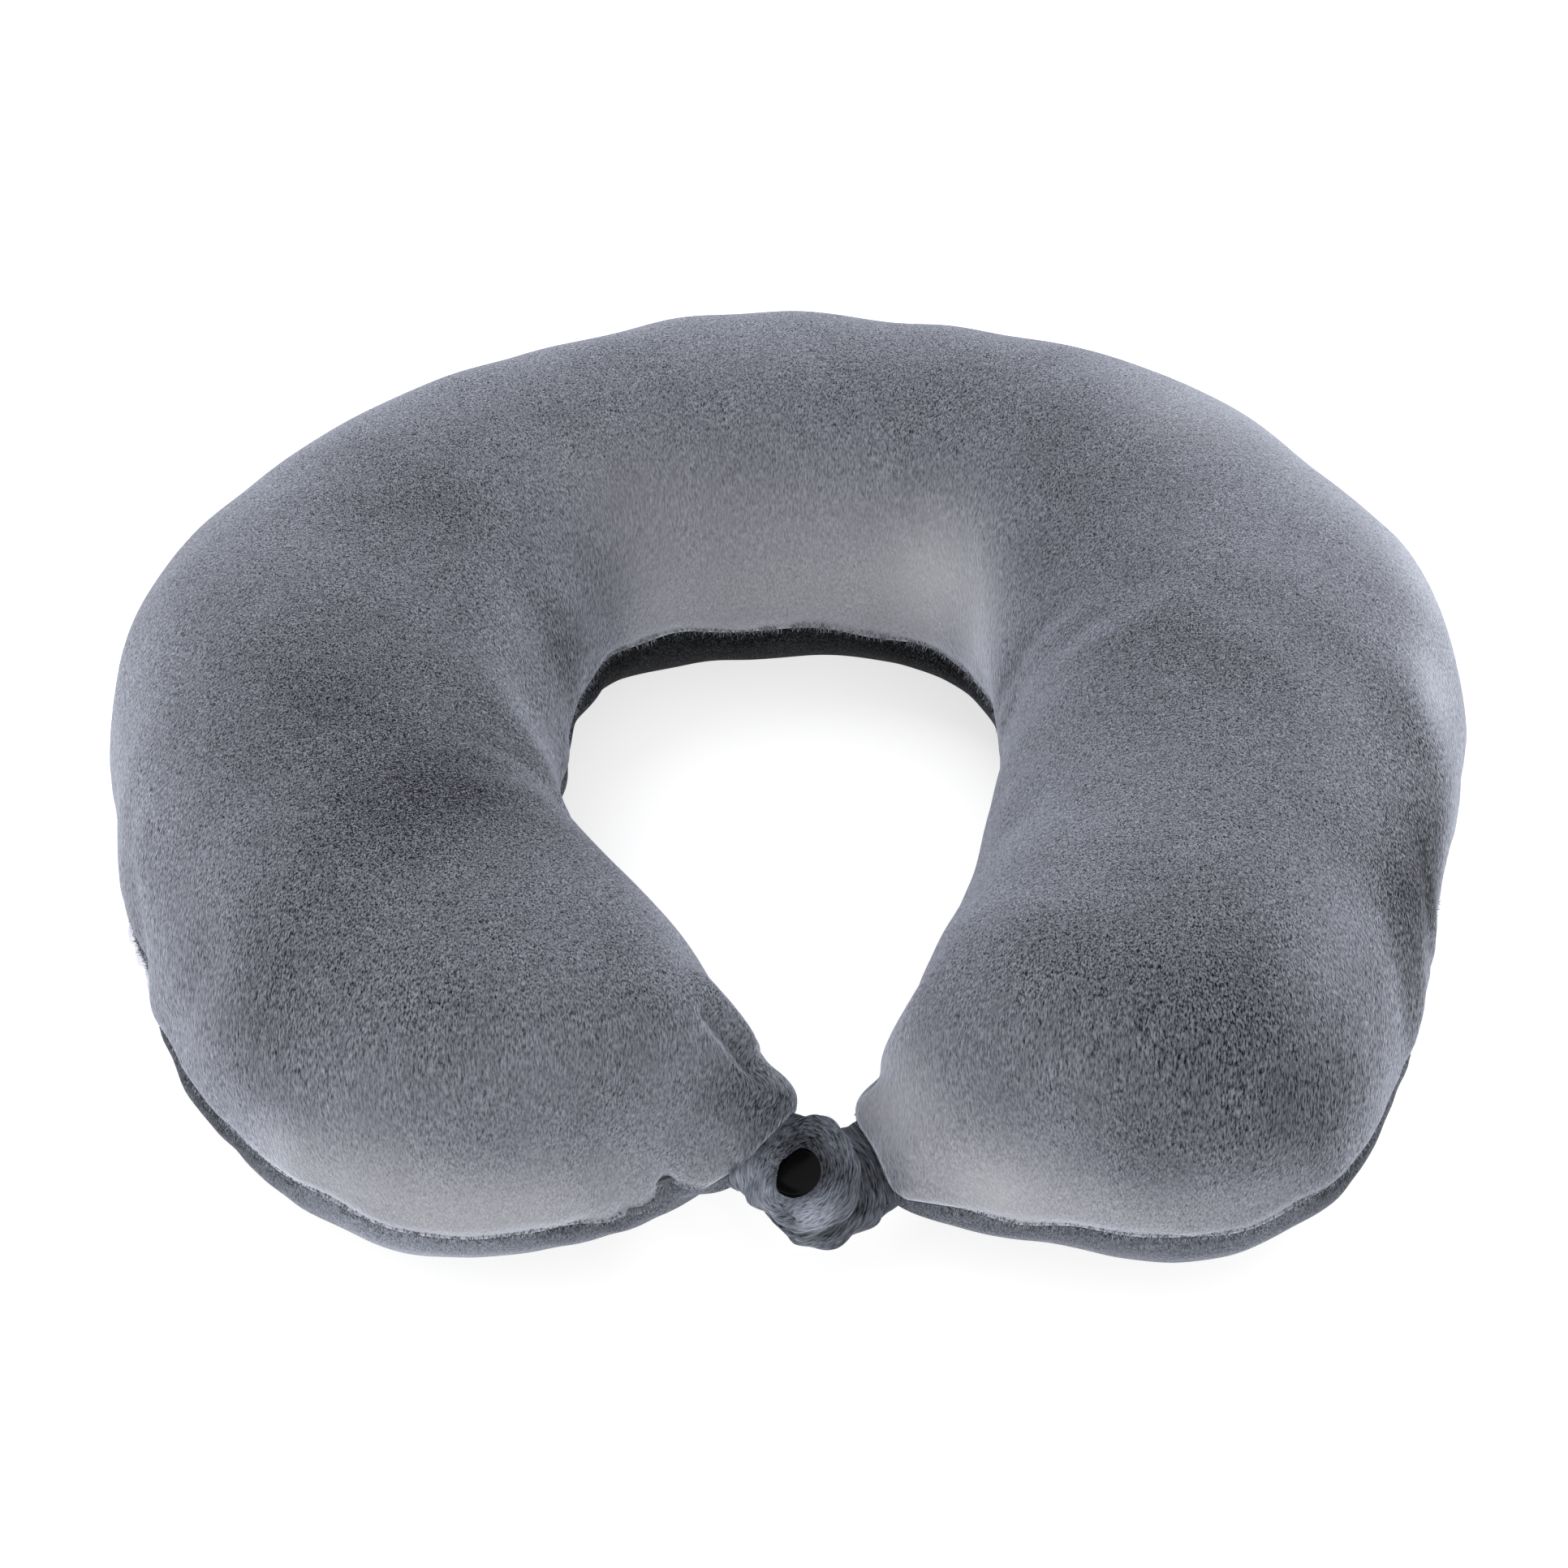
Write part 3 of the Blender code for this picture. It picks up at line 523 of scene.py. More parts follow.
def grid_faces(rows, columns, wrap_rows=False, wrap_columns=False):
    """Quads of a grid, joined round on itself where asked."""
    i = np.arange(rows if wrap_rows else rows - 1)[:, None]
    j = np.arange(columns if wrap_columns else columns - 1)[None, :]
    i2, j2 = (i + 1) % rows, (j + 1) % columns
    quads = np.stack([i * columns + j, i * columns + j2, i2 * columns + j2, i2 * columns + j], axis=2)
    return quads.reshape(-1, 4)


def bake(made):
    """Applies an object's modifiers to its mesh."""
    graph = bpy.context.evaluated_depsgraph_get()
    final = bpy.data.meshes.new_from_object(made.evaluated_get(graph))
    old = made.data
    made.modifiers.clear()
    made.data = final
    bpy.data.meshes.remove(old)
    return made


def face_out(made):
    """Turns a closed mesh's faces outwards, by the sign of its volume."""
    mesh = made.data
    corners = np.zeros(len(mesh.vertices) * 3)
    mesh.vertices.foreach_get("co", corners)
    corners = corners.reshape(-1, 3)
    mesh.calc_loop_triangles()
    triangles = np.zeros(len(mesh.loop_triangles) * 3, np.int32)
    mesh.loop_triangles.foreach_get("vertices", triangles)
    a, b, c = (corners[triangles.reshape(-1, 3)[:, k]] for k in range(3))
    if (np.cross(a, b) * c).sum() < 0:
        mesh.flip_normals()


def pile_and_painted_light_tone(points, normal, sign):
    """How much lighter or darker the cloth is painted: partly the pile, which lies back on the crown and
    stands on the front, and partly painted light on the front faces and painted shade on the crown, the
    inner left wall and the neck opening's far side, plus listed spots.
    """
    # Painted light: faces turned to the front are made lighter.
    front = smooth_step(-normal[..., 1], 0.5, 0.95)
    if sign < 0:
        # Of the bottom panel, the front catches light and the far side of the neck opening lies in shade.
        inward = -(normal * points)[..., :2].sum(axis=-1) / np.linalg.norm(points[..., :2], axis=-1)
        hidden = smooth_step(inward, -0.2, 0.3) * smooth_step(points[..., 1], 0.0, 50.0)
        front = front * smooth_step(-points[..., 1], 60.0, 120.0)
        return front * (0.9 + 1.3 * smooth_step(-points[..., 0], 40.0, 75.0)) - 0.9 * hidden
    # Painted shade on the crown and on the left arm's inner wall, and painted light on the low front faces.
    crown_shade = smooth_step(normal[..., 2], 0.55, 1.0)
    low = 1 - smooth_step(points[..., 2], 28.0, 54.0)
    inner_left_shade = smooth_step(normal[..., 0], 0.2, 0.8) * smooth_step(-points[..., 0], 20.0, 40.0)
    tone = 0.50 * front * low * (1 - 0.5 * smooth_step(points[..., 0], 70.0, 115.0))
    tone -= 0.10 * crown_shade + 0.16 * inner_left_shade + 0.05
    return tone + sum(strength * spot(points, centre, radius) for centre, radius, strength in NAP_AND_PAINTED_LIGHT_SPOTS)


def cover_panel(name, sign, columns, wrinkles, look):
    """One half of the cover as a closed sheet of cloth, and its grid of points for what is set on it.

    Its mesh carries the pile's coordinates, its tone of stroked pile and painted light and shade, and how
    far the surface faces the pile's lay.
    """
    t = np.linspace(0.0, LAST, SECTIONS)
    points = panel_form(t, columns, sign)
    shaped, normal = dress(points, t, sign, wrinkles)
    faces = grid_faces(*shaped.shape[:2])
    if (grid_normals(shaped)[..., 2] * sign).mean() > 0:
        faces = faces[:, ::-1]
    mesh = mesh_from(name, shaped, faces.tolist())
    put_vectors(mesh, "lay", pile_coordinates(points))
    put_numbers(mesh, "nap_and_painted_light", pile_and_painted_light_tone(points, normal, sign))
    put_numbers(mesh, "loft", smooth_step(normal @ PILE_LAY, -0.8, 0.1) * (sign > 0))
    made = link(name, mesh, look)
    thick = made.modifiers.new("cloth", "SOLIDIFY")
    thick.thickness = CLOTH_T * MM
    thick.offset = -1.0
    bake(made)
    return made, shaped


# ---------------------------------------------------------------- materials


def add(tree, kind, props=None, values=None, links=None):
    """A node with its properties, its inputs' values and the sockets linked into it."""
    made = tree.nodes.new(kind)
    for key, value in (props or {}).items():
        setattr(made, key, value)
    for key, value in (values or {}).items():
        made.inputs[key].default_value = value
    for key, socket in (links or {}).items():
        tree.links.new(socket, made.inputs[key])
    return made


def maths(tree, operation, *terms):
    """The result of a maths node over terms, each of them a number or a socket."""
    made = add(tree, "ShaderNodeMath", {"operation": operation})
    for i, term in enumerate(terms):
        if isinstance(term, (int, float)):
            made.inputs[i].default_value = term
        else:
            tree.links.new(term, made.inputs[i])
    return made.outputs[0]


def fresh(name, **settings):
    """A new material with one Principled shader, whose inputs are set by name."""
    made = bpy.data.materials.new(name)
    made.use_nodes = True
    tree = made.node_tree
    shader = tree.nodes["Principled BSDF"]
    for key, value in settings.items():
        shader.inputs[key.replace("_", " ")].default_value = value
    return made, tree, shader


def stretched_noise(tree, source, size, detail=2.0, roughness=0.5):
    """Noise whose grains measure size, in the source's own units."""
    scale = tuple(1.0 / s for s in size)
    placed = add(tree, "ShaderNodeMapping", values={"Scale": scale}, links={"Vector": source})
    return add(
        tree,
        "ShaderNodeTexNoise",
        values={"Scale": 1.0, "Detail": detail, "Roughness": roughness},
        links={"Vector": placed.outputs["Vector"]},
    ).outputs["Fac"]


def sum_up(tree, terms, start=1.0, clamp=False):
    """start plus each gain times (socket minus its middle), held within 0..1 if clamp is set."""
    total = start
    for socket, gain, middle in terms:
        scaled = maths(tree, "MULTIPLY", maths(tree, "SUBTRACT", socket, middle), gain)
        total = maths(tree, "ADD", scaled, total)
    total.node.use_clamp = clamp
    return total


def tinted(tree, colour, factor):
    """colour times a number socket."""
    return add(
        tree, "ShaderNodeVectorMath", {"operation": "SCALE"}, {0: colour}, {"Scale": factor}
    ).outputs["Vector"]


def emboss(tree, shader, height, strength, distance):
    """Bumps the shader's surface by a height socket; the distance is in metres."""
    depth = {"Strength": strength, "Distance": distance}
    bump = add(tree, "ShaderNodeBump", values=depth, links={"Height": height})
    tree.links.new(bump.outputs["Normal"], shader.inputs["Normal"])


# How much calmer the pile's grain looks where the surface faces the way the pile lies.
LOFT_CALM = -0.36


def velour(name, colour, grain, lean, sheen, liven, warmth=(0.0, 0.0, 0.0)):
    """Short-pile knit: fine streaks along the lay, mottling, a tone of stroked pile and painted light and
    shade, and sheen at the edges.

    grain is the contrast of the streaks, lean the change of tone from patch to patch and sheen the
    light at the edges. liven adds contrast where that tone of stroked pile and painted light is lighter, and
    warmth tints the painted light there.
    """
    made, tree, shader = fresh(name, Roughness=0.92, Specular_IOR_Level=0.15)
    lay = add(tree, "ShaderNodeAttribute", {"attribute_name": "lay"}).outputs["Vector"]
    nap_and_painted_light = add(tree, "ShaderNodeAttribute", {"attribute_name": "nap_and_painted_light"}).outputs["Fac"]
    loft = add(tree, "ShaderNodeAttribute", {"attribute_name": "loft"}).outputs["Fac"]
    fine = stretched_noise(tree, lay, (0.32, 0.32, 1.3), 2.0, 0.6)
    tufts = stretched_noise(tree, lay, (0.7, 0.7, 2.2), 2.0, 0.5)
    mottle = stretched_noise(tree, lay, (8.0, 8.0, 12.0), 3.0, 0.55)
    patches = stretched_noise(tree, lay, (36.0, 36.0, 46.0), 2.0, 0.5)
    pile = sum_up(tree, [(fine, grain, 0.5), (tufts, grain * 0.22, 0.5)], 0.0)
    ruffle = sum_up(tree, [(mottle, 0.9, 0.5), (nap_and_painted_light, liven, 0.0), (loft, LOFT_CALM, 0.0)])
    pile = maths(tree, "MULTIPLY", pile, ruffle)
    # The tone attribute's painted light and shade, with the stroked pile's tone, goes into the colour here.
    shade = sum_up(tree, [(pile, 1.0, 0.0), (mottle, 0.14, 0.5), (patches, lean, 0.5), (nap_and_painted_light, 1.0, 0.0)])
    toned = tinted(tree, colour, shade)
    # Where the tone is painted lighter, the colour is also tinted warmer, as painted light.
    tint = [share * part for share, part in zip(warmth, colour)]
    warmer = tinted(tree, tint, maths(tree, "MAXIMUM", nap_and_painted_light, 0.0))
    both = add(tree, "ShaderNodeVectorMath", {"operation": "ADD"}, links={0: toned, 1: warmer})
    tree.links.new(both.outputs["Vector"], shader.inputs["Base Color"])
    height = sum_up(tree, [(fine, 0.5, 0.5), (tufts, 0.8, 0.5), (mottle, 0.3, 0.5)], 0.5)
    emboss(tree, shader, height, 0.5, 0.0006)
    # The sheen's weight rises and falls with the same painted light and shade.
    gloss = sum_up(tree, [(nap_and_painted_light, 1.3 * sheen, 0.0), (pile, sheen, 0.0)], sheen, clamp=True)
    tree.links.new(gloss, shader.inputs["Sheen Weight"])
    shader.inputs["Sheen Roughness"].default_value = 0.45
    shader.inputs["Sheen Tint"].default_value = (0.80, 0.84, 0.98, 1.0)
    return made


LIGHT = velour("light_velour_pile", (0.126, 0.131, 0.155), 4.6, 0.5, 0.60, -0.10, (0.12, 0.05, -0.14))
DARK = velour("dark_velour_pile", (0.054, 0.058, 0.069), 4.4, 0.4, 0.15, 0.4)
RUFFLED = velour("dark_velour_pile_ruffled", (0.046, 0.050, 0.060), 5.6, 0.4, 0.15, 0.5)


def resin():
    """Glossy black moulded resin with faint handling marks."""
    black = (0.0012, 0.0012, 0.0015, 1.0)
    made, tree, shader = fresh("black_snap_gloss", Base_Color=black, Specular_IOR_Level=0.03)
    place = add(tree, "ShaderNodeTexCoord").outputs["Object"]
    marks = stretched_noise(tree, place, (0.003, 0.003, 0.003), 4.0, 0.6)
    rough = sum_up(tree, [(marks, 0.16, 0.5)], 0.14)
    tree.links.new(rough, shader.inputs["Roughness"])
    return made


# How often, in metres, a band texture of scale 1 repeats.
BAND_REPEAT = 0.31416


def woven(name, colour, pitch, roughness=0.75):
    """Plain weave: ribs along each axis, a pitch in metres apart, with a little change from yarn to yarn."""
    made, tree, shader = fresh(name, Roughness=roughness)
    place = add(tree, "ShaderNodeTexCoord").outputs["Object"]
    ribs = []
    for way in ("X", "Y", "Z"):
        wave = add(
            tree,
            "ShaderNodeTexWave",
            {"wave_type": "BANDS", "bands_direction": way},
            {"Scale": BAND_REPEAT / pitch, "Distortion": 0.6, "Detail": 1.0},
            {"Vector": place},
        )
        ribs.append((wave.outputs["Fac"], 0.33, 0.5))
    height = sum_up(tree, ribs, 0.5)
    yarn = stretched_noise(tree, place, (0.0012, 0.0012, 0.0012), 2.0)
    shade = sum_up(tree, [(height, 0.5, 0.5), (yarn, 0.6, 0.5)])
    tree.links.new(tinted(tree, colour, shade), shader.inputs["Base Color"])
    emboss(tree, shader, height, 0.6, pitch * 0.3)
    return made


def speckled(name, colour, size, gain, roughness, metallic=0.0, bump_depth=0.0001):
    """A moulded, cast or foamed material with fine speckle in its colour, gloss and surface."""
    made, tree, shader = fresh(name, Metallic=metallic)
    place = add(tree, "ShaderNodeTexCoord").outputs["Object"]
    speckle = stretched_noise(tree, place, (size, size, size), 4.0, 0.6)
    broad = stretched_noise(tree, place, (size * 14, size * 14, size * 14), 2.0, 0.5)
    shade = sum_up(tree, [(speckle, gain, 0.5), (broad, gain * 0.8, 0.5)])
    tree.links.new(tinted(tree, colour, shade), shader.inputs["Base Color"])
    rough = sum_up(tree, [(speckle, 0.25, 0.5)], roughness)
    tree.links.new(rough, shader.inputs["Roughness"])
    emboss(tree, shader, speckle, 0.4, bump_depth)
    return made


RESIN = resin()
TAPE = woven("zip_tape_twill", (0.052, 0.056, 0.068), 0.0009)
NYLON = speckled("zip_coil_nylon_looks", (0.045, 0.048, 0.056), 0.0008, 0.4, 0.38)
METAL = speckled("zip_slider_enamel", (0.035, 0.036, 0.040), 0.0006, 0.3, 0.34, 0.5)
FOAM = speckled("memory_foam_looks", (0.82, 0.76, 0.56), 0.0011, 0.35, 0.85, 0.0, 0.0006)
COTTON = woven("sewing_thread_twist", (0.075, 0.080, 0.095), 0.0005)
SATIN = woven("white_satin_weave", (0.60, 0.60, 0.68), 0.0005, 0.42)


# ---------------------------------------------------------------- the cover
top_wrinkles, bottom_wrinkles = cloth_wrinkles()
top, top_grid = cover_panel("velour_top", 1, TOP_COLUMNS, top_wrinkles, LIGHT)
bottom, bottom_grid = cover_panel("velour_bottom", -1, BOTTOM_COLUMNS, bottom_wrinkles, DARK)


# Fringed stretches of the seams, in stations: none at the mouths or along the zip.
FRINGED_OUTER = ((0.5, 7.8), (14.2, 21.5))
FRINGED_INNER = ((0.5, 21.5),)
FRINGE_TONE = 0.1


def fringe(name, grid, look, per_mm, seed):
    """Short pile standing off a panel's two rims, away from its mouths, as thin closed hairs."""
    rng = np.random.default_rng(seed)
    strips = [(begin, end, 0, 2) for begin, end in FRINGED_OUTER]
    strips += [(begin, end, -1, -4) for begin, end in FRINGED_INNER]
    hairs = []
    for begin, end, edge, inside in strips:
        part = grid[int(begin / LAST * SECTIONS) : int(end / LAST * SECTIONS)]
        rim, next_in, middle = part[:, edge], part[:, inside], part.mean(axis=1)
        walked = along_columns(rim[None])[0]
        count = int(walked[-1] * per_mm)
        at = np.sort(rng.uniform(0, walked[-1], count))
        ahead = np.gradient(rim, axis=0)
        ahead /= np.maximum(np.linalg.norm(ahead, axis=1, keepdims=True), 1e-9)
        ahead = resampled(ahead, walked, at)
        off = resampled(rim - next_in, walked, at)
        off /= np.maximum(np.linalg.norm(off, axis=1, keepdims=True), 1e-9)
        out = np.cross(ahead, off)
        away = resampled(rim - middle, walked, at) * (1.0, 1.0, 0.0)
        out *= np.sign((out * away).sum(axis=1))[:, None]
        root = resampled(rim, walked, at) - off * rng.uniform(0.0, 1.8, (count, 1)) + out * 0.05
        way = off * rng.uniform(0.5, 1.0, (count, 1)) + out * rng.uniform(0.25, 0.9, (count, 1))
        way += ahead * rng.normal(0.0, 0.25, (count, 1))
        way /= np.linalg.norm(way, axis=1, keepdims=True)
        tip = root + way * rng.uniform(0.9, 1.9, (count, 1))
        side = ahead * rng.uniform(0.09, 0.16, (count, 1))
        deep = np.cross(way, ahead) * 0.15
        hairs.append(np.stack([root - side, root + side, root + deep, tip], axis=1))
    points = np.concatenate(hairs)
    corner = (np.arange(len(points)) * 4)[:, None]
    faces = np.concatenate([corner + np.array(f) for f in ((0, 2, 1), (0, 1, 3), (1, 2, 3), (2, 0, 3))])
    mesh = mesh_from(name, points, faces.tolist())
    put_vectors(mesh, "lay", pile_coordinates(points))
    put_numbers(mesh, "nap_and_painted_light", np.full(len(points) * 4, FRINGE_TONE))
    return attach(link(name, mesh, look), "pillow")


top_pile = fringe("pile_fringe_top", top_grid, LIGHT, 3.2, 41)
bottom_pile = fringe("pile_fringe_bottom", bottom_grid, DARK, 2.4, 42)

for piece, node, slot in (
    (top, "cover_top_panel", "light_velour"),
    (bottom, "cover_bottom_panel", "dark_velour"),
):
    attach(piece, "pillow")
    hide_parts(node)


# ---------------------------------------------------------------- the closure tabs
def closed_spline(points, count):
    """A smooth closed curve through rows of points, as count rows spaced evenly along it."""
    points = np.array(points, float)
    shares = np.linspace(0.0, 1.0, 24, endpoint=False)[:, None]
    dense = []
    for i in range(len(points)):
        knots = (points[(i + k - 1) % len(points)] for k in range(4))
        dense.append(between(*knots, shares))
    dense = np.concatenate(dense)
    ring = np.concatenate([dense, dense[:1]])
    walked = np.concatenate([[0.0], np.cumsum(np.linalg.norm(np.diff(ring[:, :2], axis=0), axis=1))])
    at = np.linspace(0.0, walked[-1], count, endpoint=False)
    return resampled(ring, walked, at)


TAB_RINGS, TAB_SPOKES = 64, 168
# The hole for the snap's pin, the flat under its cap, and half of the two plies' thickness.
PIN_HOLE, CAP_FLAT = 1.45, 4.6
PLIES_HALF = 1.25
# A ring of the tab's grid that lies on its upper face, near the cap's edge.
CAP_RING = 8


def tab(name, outline, roll, drop, creases, painted_spots, seed, hill=(1.0, 0.0), hill_share=0.0):
    """A padded two-ply tab: flat under the snap, then a wall that rises to a rolled rim.

    Each outline row is (p, q, height of the rim's crest above the tab's middle). roll is the rim's
    radius and drop how far the whole tab lies below the snap's middle. hill is the way to the root,
    where the cloth laps over the snap by the share hill_share.
    """
    ring = closed_spline(outline, TAB_SPOKES)
    reach = np.linalg.norm(ring[:, :2], axis=1)
    way = ring[:, :2] / reach[:, None]
    crest = ring[:, 2]
    # To the sides the wall stands further in, where the rim is high.
    side = np.abs(way[:, 0]) * smooth_step(crest, 1.4, 4.0)

    def at(radius, height):
        return np.stack([np.broadcast_to(radius, reach.shape), np.broadcast_to(height, reach.shape)], axis=1)

    foot = np.minimum(3.1, 0.75 * crest)
    under = [
        at(reach - 0.4, -0.5),
        at(reach - 1.4, -PLIES_HALF - 0.2),
        at(np.maximum(reach - 5.0, 5.4), -PLIES_HALF - 0.05),
        at(CAP_FLAT, -PLIES_HALF),
        at(PIN_HOLE, -PLIES_HALF),
    ]
    wall = [
        at(PIN_HOLE, PLIES_HALF),
        at(CAP_FLAT, PLIES_HALF),
        at(6.5, PLIES_HALF + 0.3),
        at(6.7 - 0.8 * side, foot * 0.8),
        at(6.5 - 1.2 * side, foot),
        at((reach + 4.0) / 2, foot + 0.70 * (crest - foot)),
        at(reach - roll, crest),
        at(reach - 0.3 * roll, 0.84 * crest),
        at(reach, 0.40 * crest),
    ]
    # On the root's side the cloth laps over the snap, and then slopes down to the seam.
    lap = [
        at(PIN_HOLE, PLIES_HALF),
        at(CAP_FLAT, PLIES_HALF),
        at(6.6, PLIES_HALF + 0.4),
        at(6.3, 2.9),
        at(3.7, 3.4),
        at(4.2, 4.4),
        at(6.8, 5.1),
        at(np.maximum(reach - 2.8, 8.6), 2.9),
        at(reach, 0.8),
    ]
    root_side = smooth_step(way @ np.array(hill), 0.0, 0.95)[None, :, None]
    wall, lap = np.array(wall + under), np.array(lap + under)
    knots = wall + (lap - wall) * root_side * hill_share
    curve = open_spline(knots, TAB_RINGS)
    radius, height = curve[..., 0], curve[..., 1]
    p, q = radius * way[:, 0], radius * way[:, 1]
    flat = np.stack([p, q, height], axis=2)
    loose = smooth_step(radius, 6.4, 9.0)
    normal = grid_normals(np.concatenate([flat[:, -2:], flat, flat[:, :2]], axis=1))[:, 2:-2]
    # The flat under the cap looks up.
    if normal[CAP_RING, :, 2].mean() < 0:
        normal = -normal
    # Fine wrinkles and the pile both run along the rim.
    walked = np.swapaxes(along_columns(np.swapaxes(flat, 0, 1)), 0, 1)
    around = np.broadcast_to(way, flat[..., :2].shape)
    out = waves(flat, 9.0, seed) * 0.22
    out += waves(np.concatenate([around * 5.0, walked[..., None]], axis=2), 2.6, seed + 1) * 0.22
    for start, end, width, depth in creases:
        out += depth * ridge(flat, start, end, width)
    flat = flat + normal * (out * loose)[..., None]
    placed = tab_place(flat[..., 0], flat[..., 1], flat[..., 2] - drop)
    faces = grid_faces(*placed.shape[:2], wrap_rows=True, wrap_columns=True)
    mesh = mesh_from(name, placed, faces.tolist())
    put_vectors(mesh, "lay", np.stack([walked, around[..., 0] * 2.2, around[..., 1] * 6.0], axis=2))
    # Painted light and shade: the rim's crest is made lighter than the wall and flat inside it, tone also
    # varies at random, then the listed spots of painted highlight and shadow are added.
    painted_crest_light = smooth_step(height / crest, 0.35, 0.95) * smooth_step(radius, 6.0, 8.0)
    tone = 0.05 + 0.45 * painted_crest_light + 0.12 * waves(flat, 9.0, seed + 2)
    for centre, size, strength in painted_spots:
        tone = tone + strength * spot(flat, centre, size)
    put_numbers(mesh, "nap_and_painted_light", tone)
    made = link(name, mesh, RUFFLED)
    face_out(made)
    return made


LEFT_OUTLINE = [
    (-14.6, -1.2, 1.3),
    (-11.6, -3.6, 2.2),
    (-5.8, -8.8, 3.4),
    (-0.9, -12.0, 4.2),
    (3.6, -12.9, 4.8),
    (8.6, -11.2, 5.2),
    (12.0, -7.2, 6.0),
    (13.2, -2.0, 6.8),
    (12.6, 3.0, 7.6),
    (9.8, 8.0, 8.4),
    (5.6, 11.4, 9.0),
    (1.0, 12.8, 8.8),
    (-2.8, 14.6, 7.0),
    (-6.6, 16.6, 2.0),
    (-10.6, 7.6, 1.3),
]
RIGHT_OUTLINE = [
    (13.6, 21.0, 1.3),
    (8.6, 17.2, 1.5),
    (2.5, 13.6, 1.8),
    (-4.0, 11.0, 1.8),
    (-7.6, 6.4, 1.8),
    (-8.2, 0.5, 1.8),
    (-5.8, -5.2, 1.8),
    (-0.8, -10.4, 1.9),
    (5.6, -12.3, 2.0),
    (11.2, -9.8, 2.0),
    (16.4, -4.8, 1.8),
    (22.6, 1.2, 1.4),
    (25.2, 4.4, 1.2),
    (19.6, 12.6, 1.2),
]
LEFT_CREASES = [
    ((-2.0, -7.0, 3.0), (0.2, -12.4, 4.0), 1.1, -2.6),
    ((-9.0, 3.0, 3.4), (-7.5, -5.0, 2.6), 1.8, 0.5),
    ((7.5, -9.0, 4.4), (10.4, -4.0, 5.4), 1.0, -0.6),
    ((8.6, 5.0, 6.0), (11.0, 2.0, 6.0), 0.9, -0.5),
]
RIGHT_CREASES = [
    ((11.0, -3.0, 1.5), (19.0, -1.0, 1.5), 1.6, -0.6),
    ((10.0, -6.0, 1.5), (17.0, -3.0, 1.5), 2.0, 0.5),
]
# Painted highlights and painted shade on the left tab: centre (p, q, height), radius and strength.
LEFT_TAB_PAINTED_LIGHT = [
    ((5.0, -11.0, 4.8), 4.5, 3.3),
    ((-5.5, -8.0, 3.0), 5.0, 1.8),
    ((-10.5, -1.0, 2.5), 6.0, 1.6),
    ((-8.0, 8.0, 4.0), 5.0, 0.4),
    ((0.5, 8.5, 4.5), 4.5, -0.6),
    ((6.8, 0.0, 3.6), 3.4, -0.4),
    ((11.0, -1.0, 5.8), 4.5, -0.35),
]
# Painted light on the right tab's front edge and painted shadow in the gap by the right tip: centre (p, q,
# height), radius and strength.
RIGHT_TAB_PAINTED_LIGHT = [
    ((12.0, -6.0, 1.5), 6.0, 0.3),
    ((3.0, -10.4, 1.0), 5.0, 0.9),
    ((13.0, 7.0, 1.5), 6.0, -0.7),
]

left_tab = tab(
    "left_tab_velour",
    LEFT_OUTLINE,
    2.0,
    0.0,
    LEFT_CREASES,
    LEFT_TAB_PAINTED_LIGHT,
    51,
    hill=(-0.93, 0.37),
    hill_share=1.0,
)
right_tab = tab(
    "right_tab_velour", RIGHT_OUTLINE, 1.6, RIGHT_TAB_DROP, RIGHT_CREASES, RIGHT_TAB_PAINTED_LIGHT, 61
)


for piece, side, root, drop in (
    (left_tab, "left", LEFT_ROOT, 0.0),
    (right_tab, "right", RIGHT_ROOT, RIGHT_TAB_DROP),
):
    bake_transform(piece)
    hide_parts(f"{side}_tab_upper_ply", f"{side}_tab_lower_ply")


# ---------------------------------------------------------------- the snap
def turned(name, profile, body, look, drop=0.0, sides=72):
    """A profile of (radius, height) turned round the snap's axis. It starts and ends on the axis."""
    profile = np.array(profile, float)
    angle = np.linspace(0, 2 * math.pi, sides, endpoint=False)
    inner = profile[1:-1]
    p = inner[:, 0:1] * np.cos(angle)
    q = inner[:, 0:1] * np.sin(angle)
    n = np.repeat(inner[:, 1:2], sides, axis=1)
    points = tab_place(p, q, n - drop).reshape(-1, 3)
    poles = tab_place(np.zeros(2), np.zeros(2), profile[[0, -1], 1] - drop)
    faces = grid_faces(len(inner), sides, wrap_columns=True).tolist()
    first, last = len(points), len(points) + 1
    base = (len(inner) - 1) * sides
    for j in range(sides):
        k = (j + 1) % sides
        faces.append([first, k, j])
        faces.append([last, base + j, base + k])
    made = link(name, mesh_from(name, np.concatenate([points, poles]), faces), look)
    made.data.set_sharp_from_angle(angle=math.radians(50))
    face_out(made)
    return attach(made, body)


CAP_START = 1.55
cap_profile = [(0.0, 2.35), (1.5, 2.37), (3.2, 2.45), (4.5, 2.62), (5.2, 2.76), (5.65, 2.80), (5.95, 2.72)]
cap_profile += [(6.15, 2.50), (6.2, 2.2), (6.2, 1.85), (6.05, 1.62), (5.8, CAP_START), (3.0, CAP_START)]
cap_profile += [(1.2, CAP_START), (1.2, -2.6), (1.9, -2.7), (1.9, -2.95), (0.0, -2.95)]
cap = turned("snap_cap_gloss", cap_profile, "left_tab", RESIN)
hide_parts("snap_cap_upper")


# ---------------------------------------------------------------- the zip's coils
COIL_PITCH, COIL_TURN_STEPS, COIL_SIDES = 1.5, 9, 5
COIL_MONOFILAMENT_R = 0.27
# The windings' middle and half size, above or below the seam's plane and inwards of the arc.
COIL_Z, COIL_HALF_HEIGHT = 1.65, 0.85
COIL_INSET, COIL_HALF_DEPTH = 1.45, 0.42
# What the coil leaves of the arc at each end.
COIL_END_GAP = 3.6


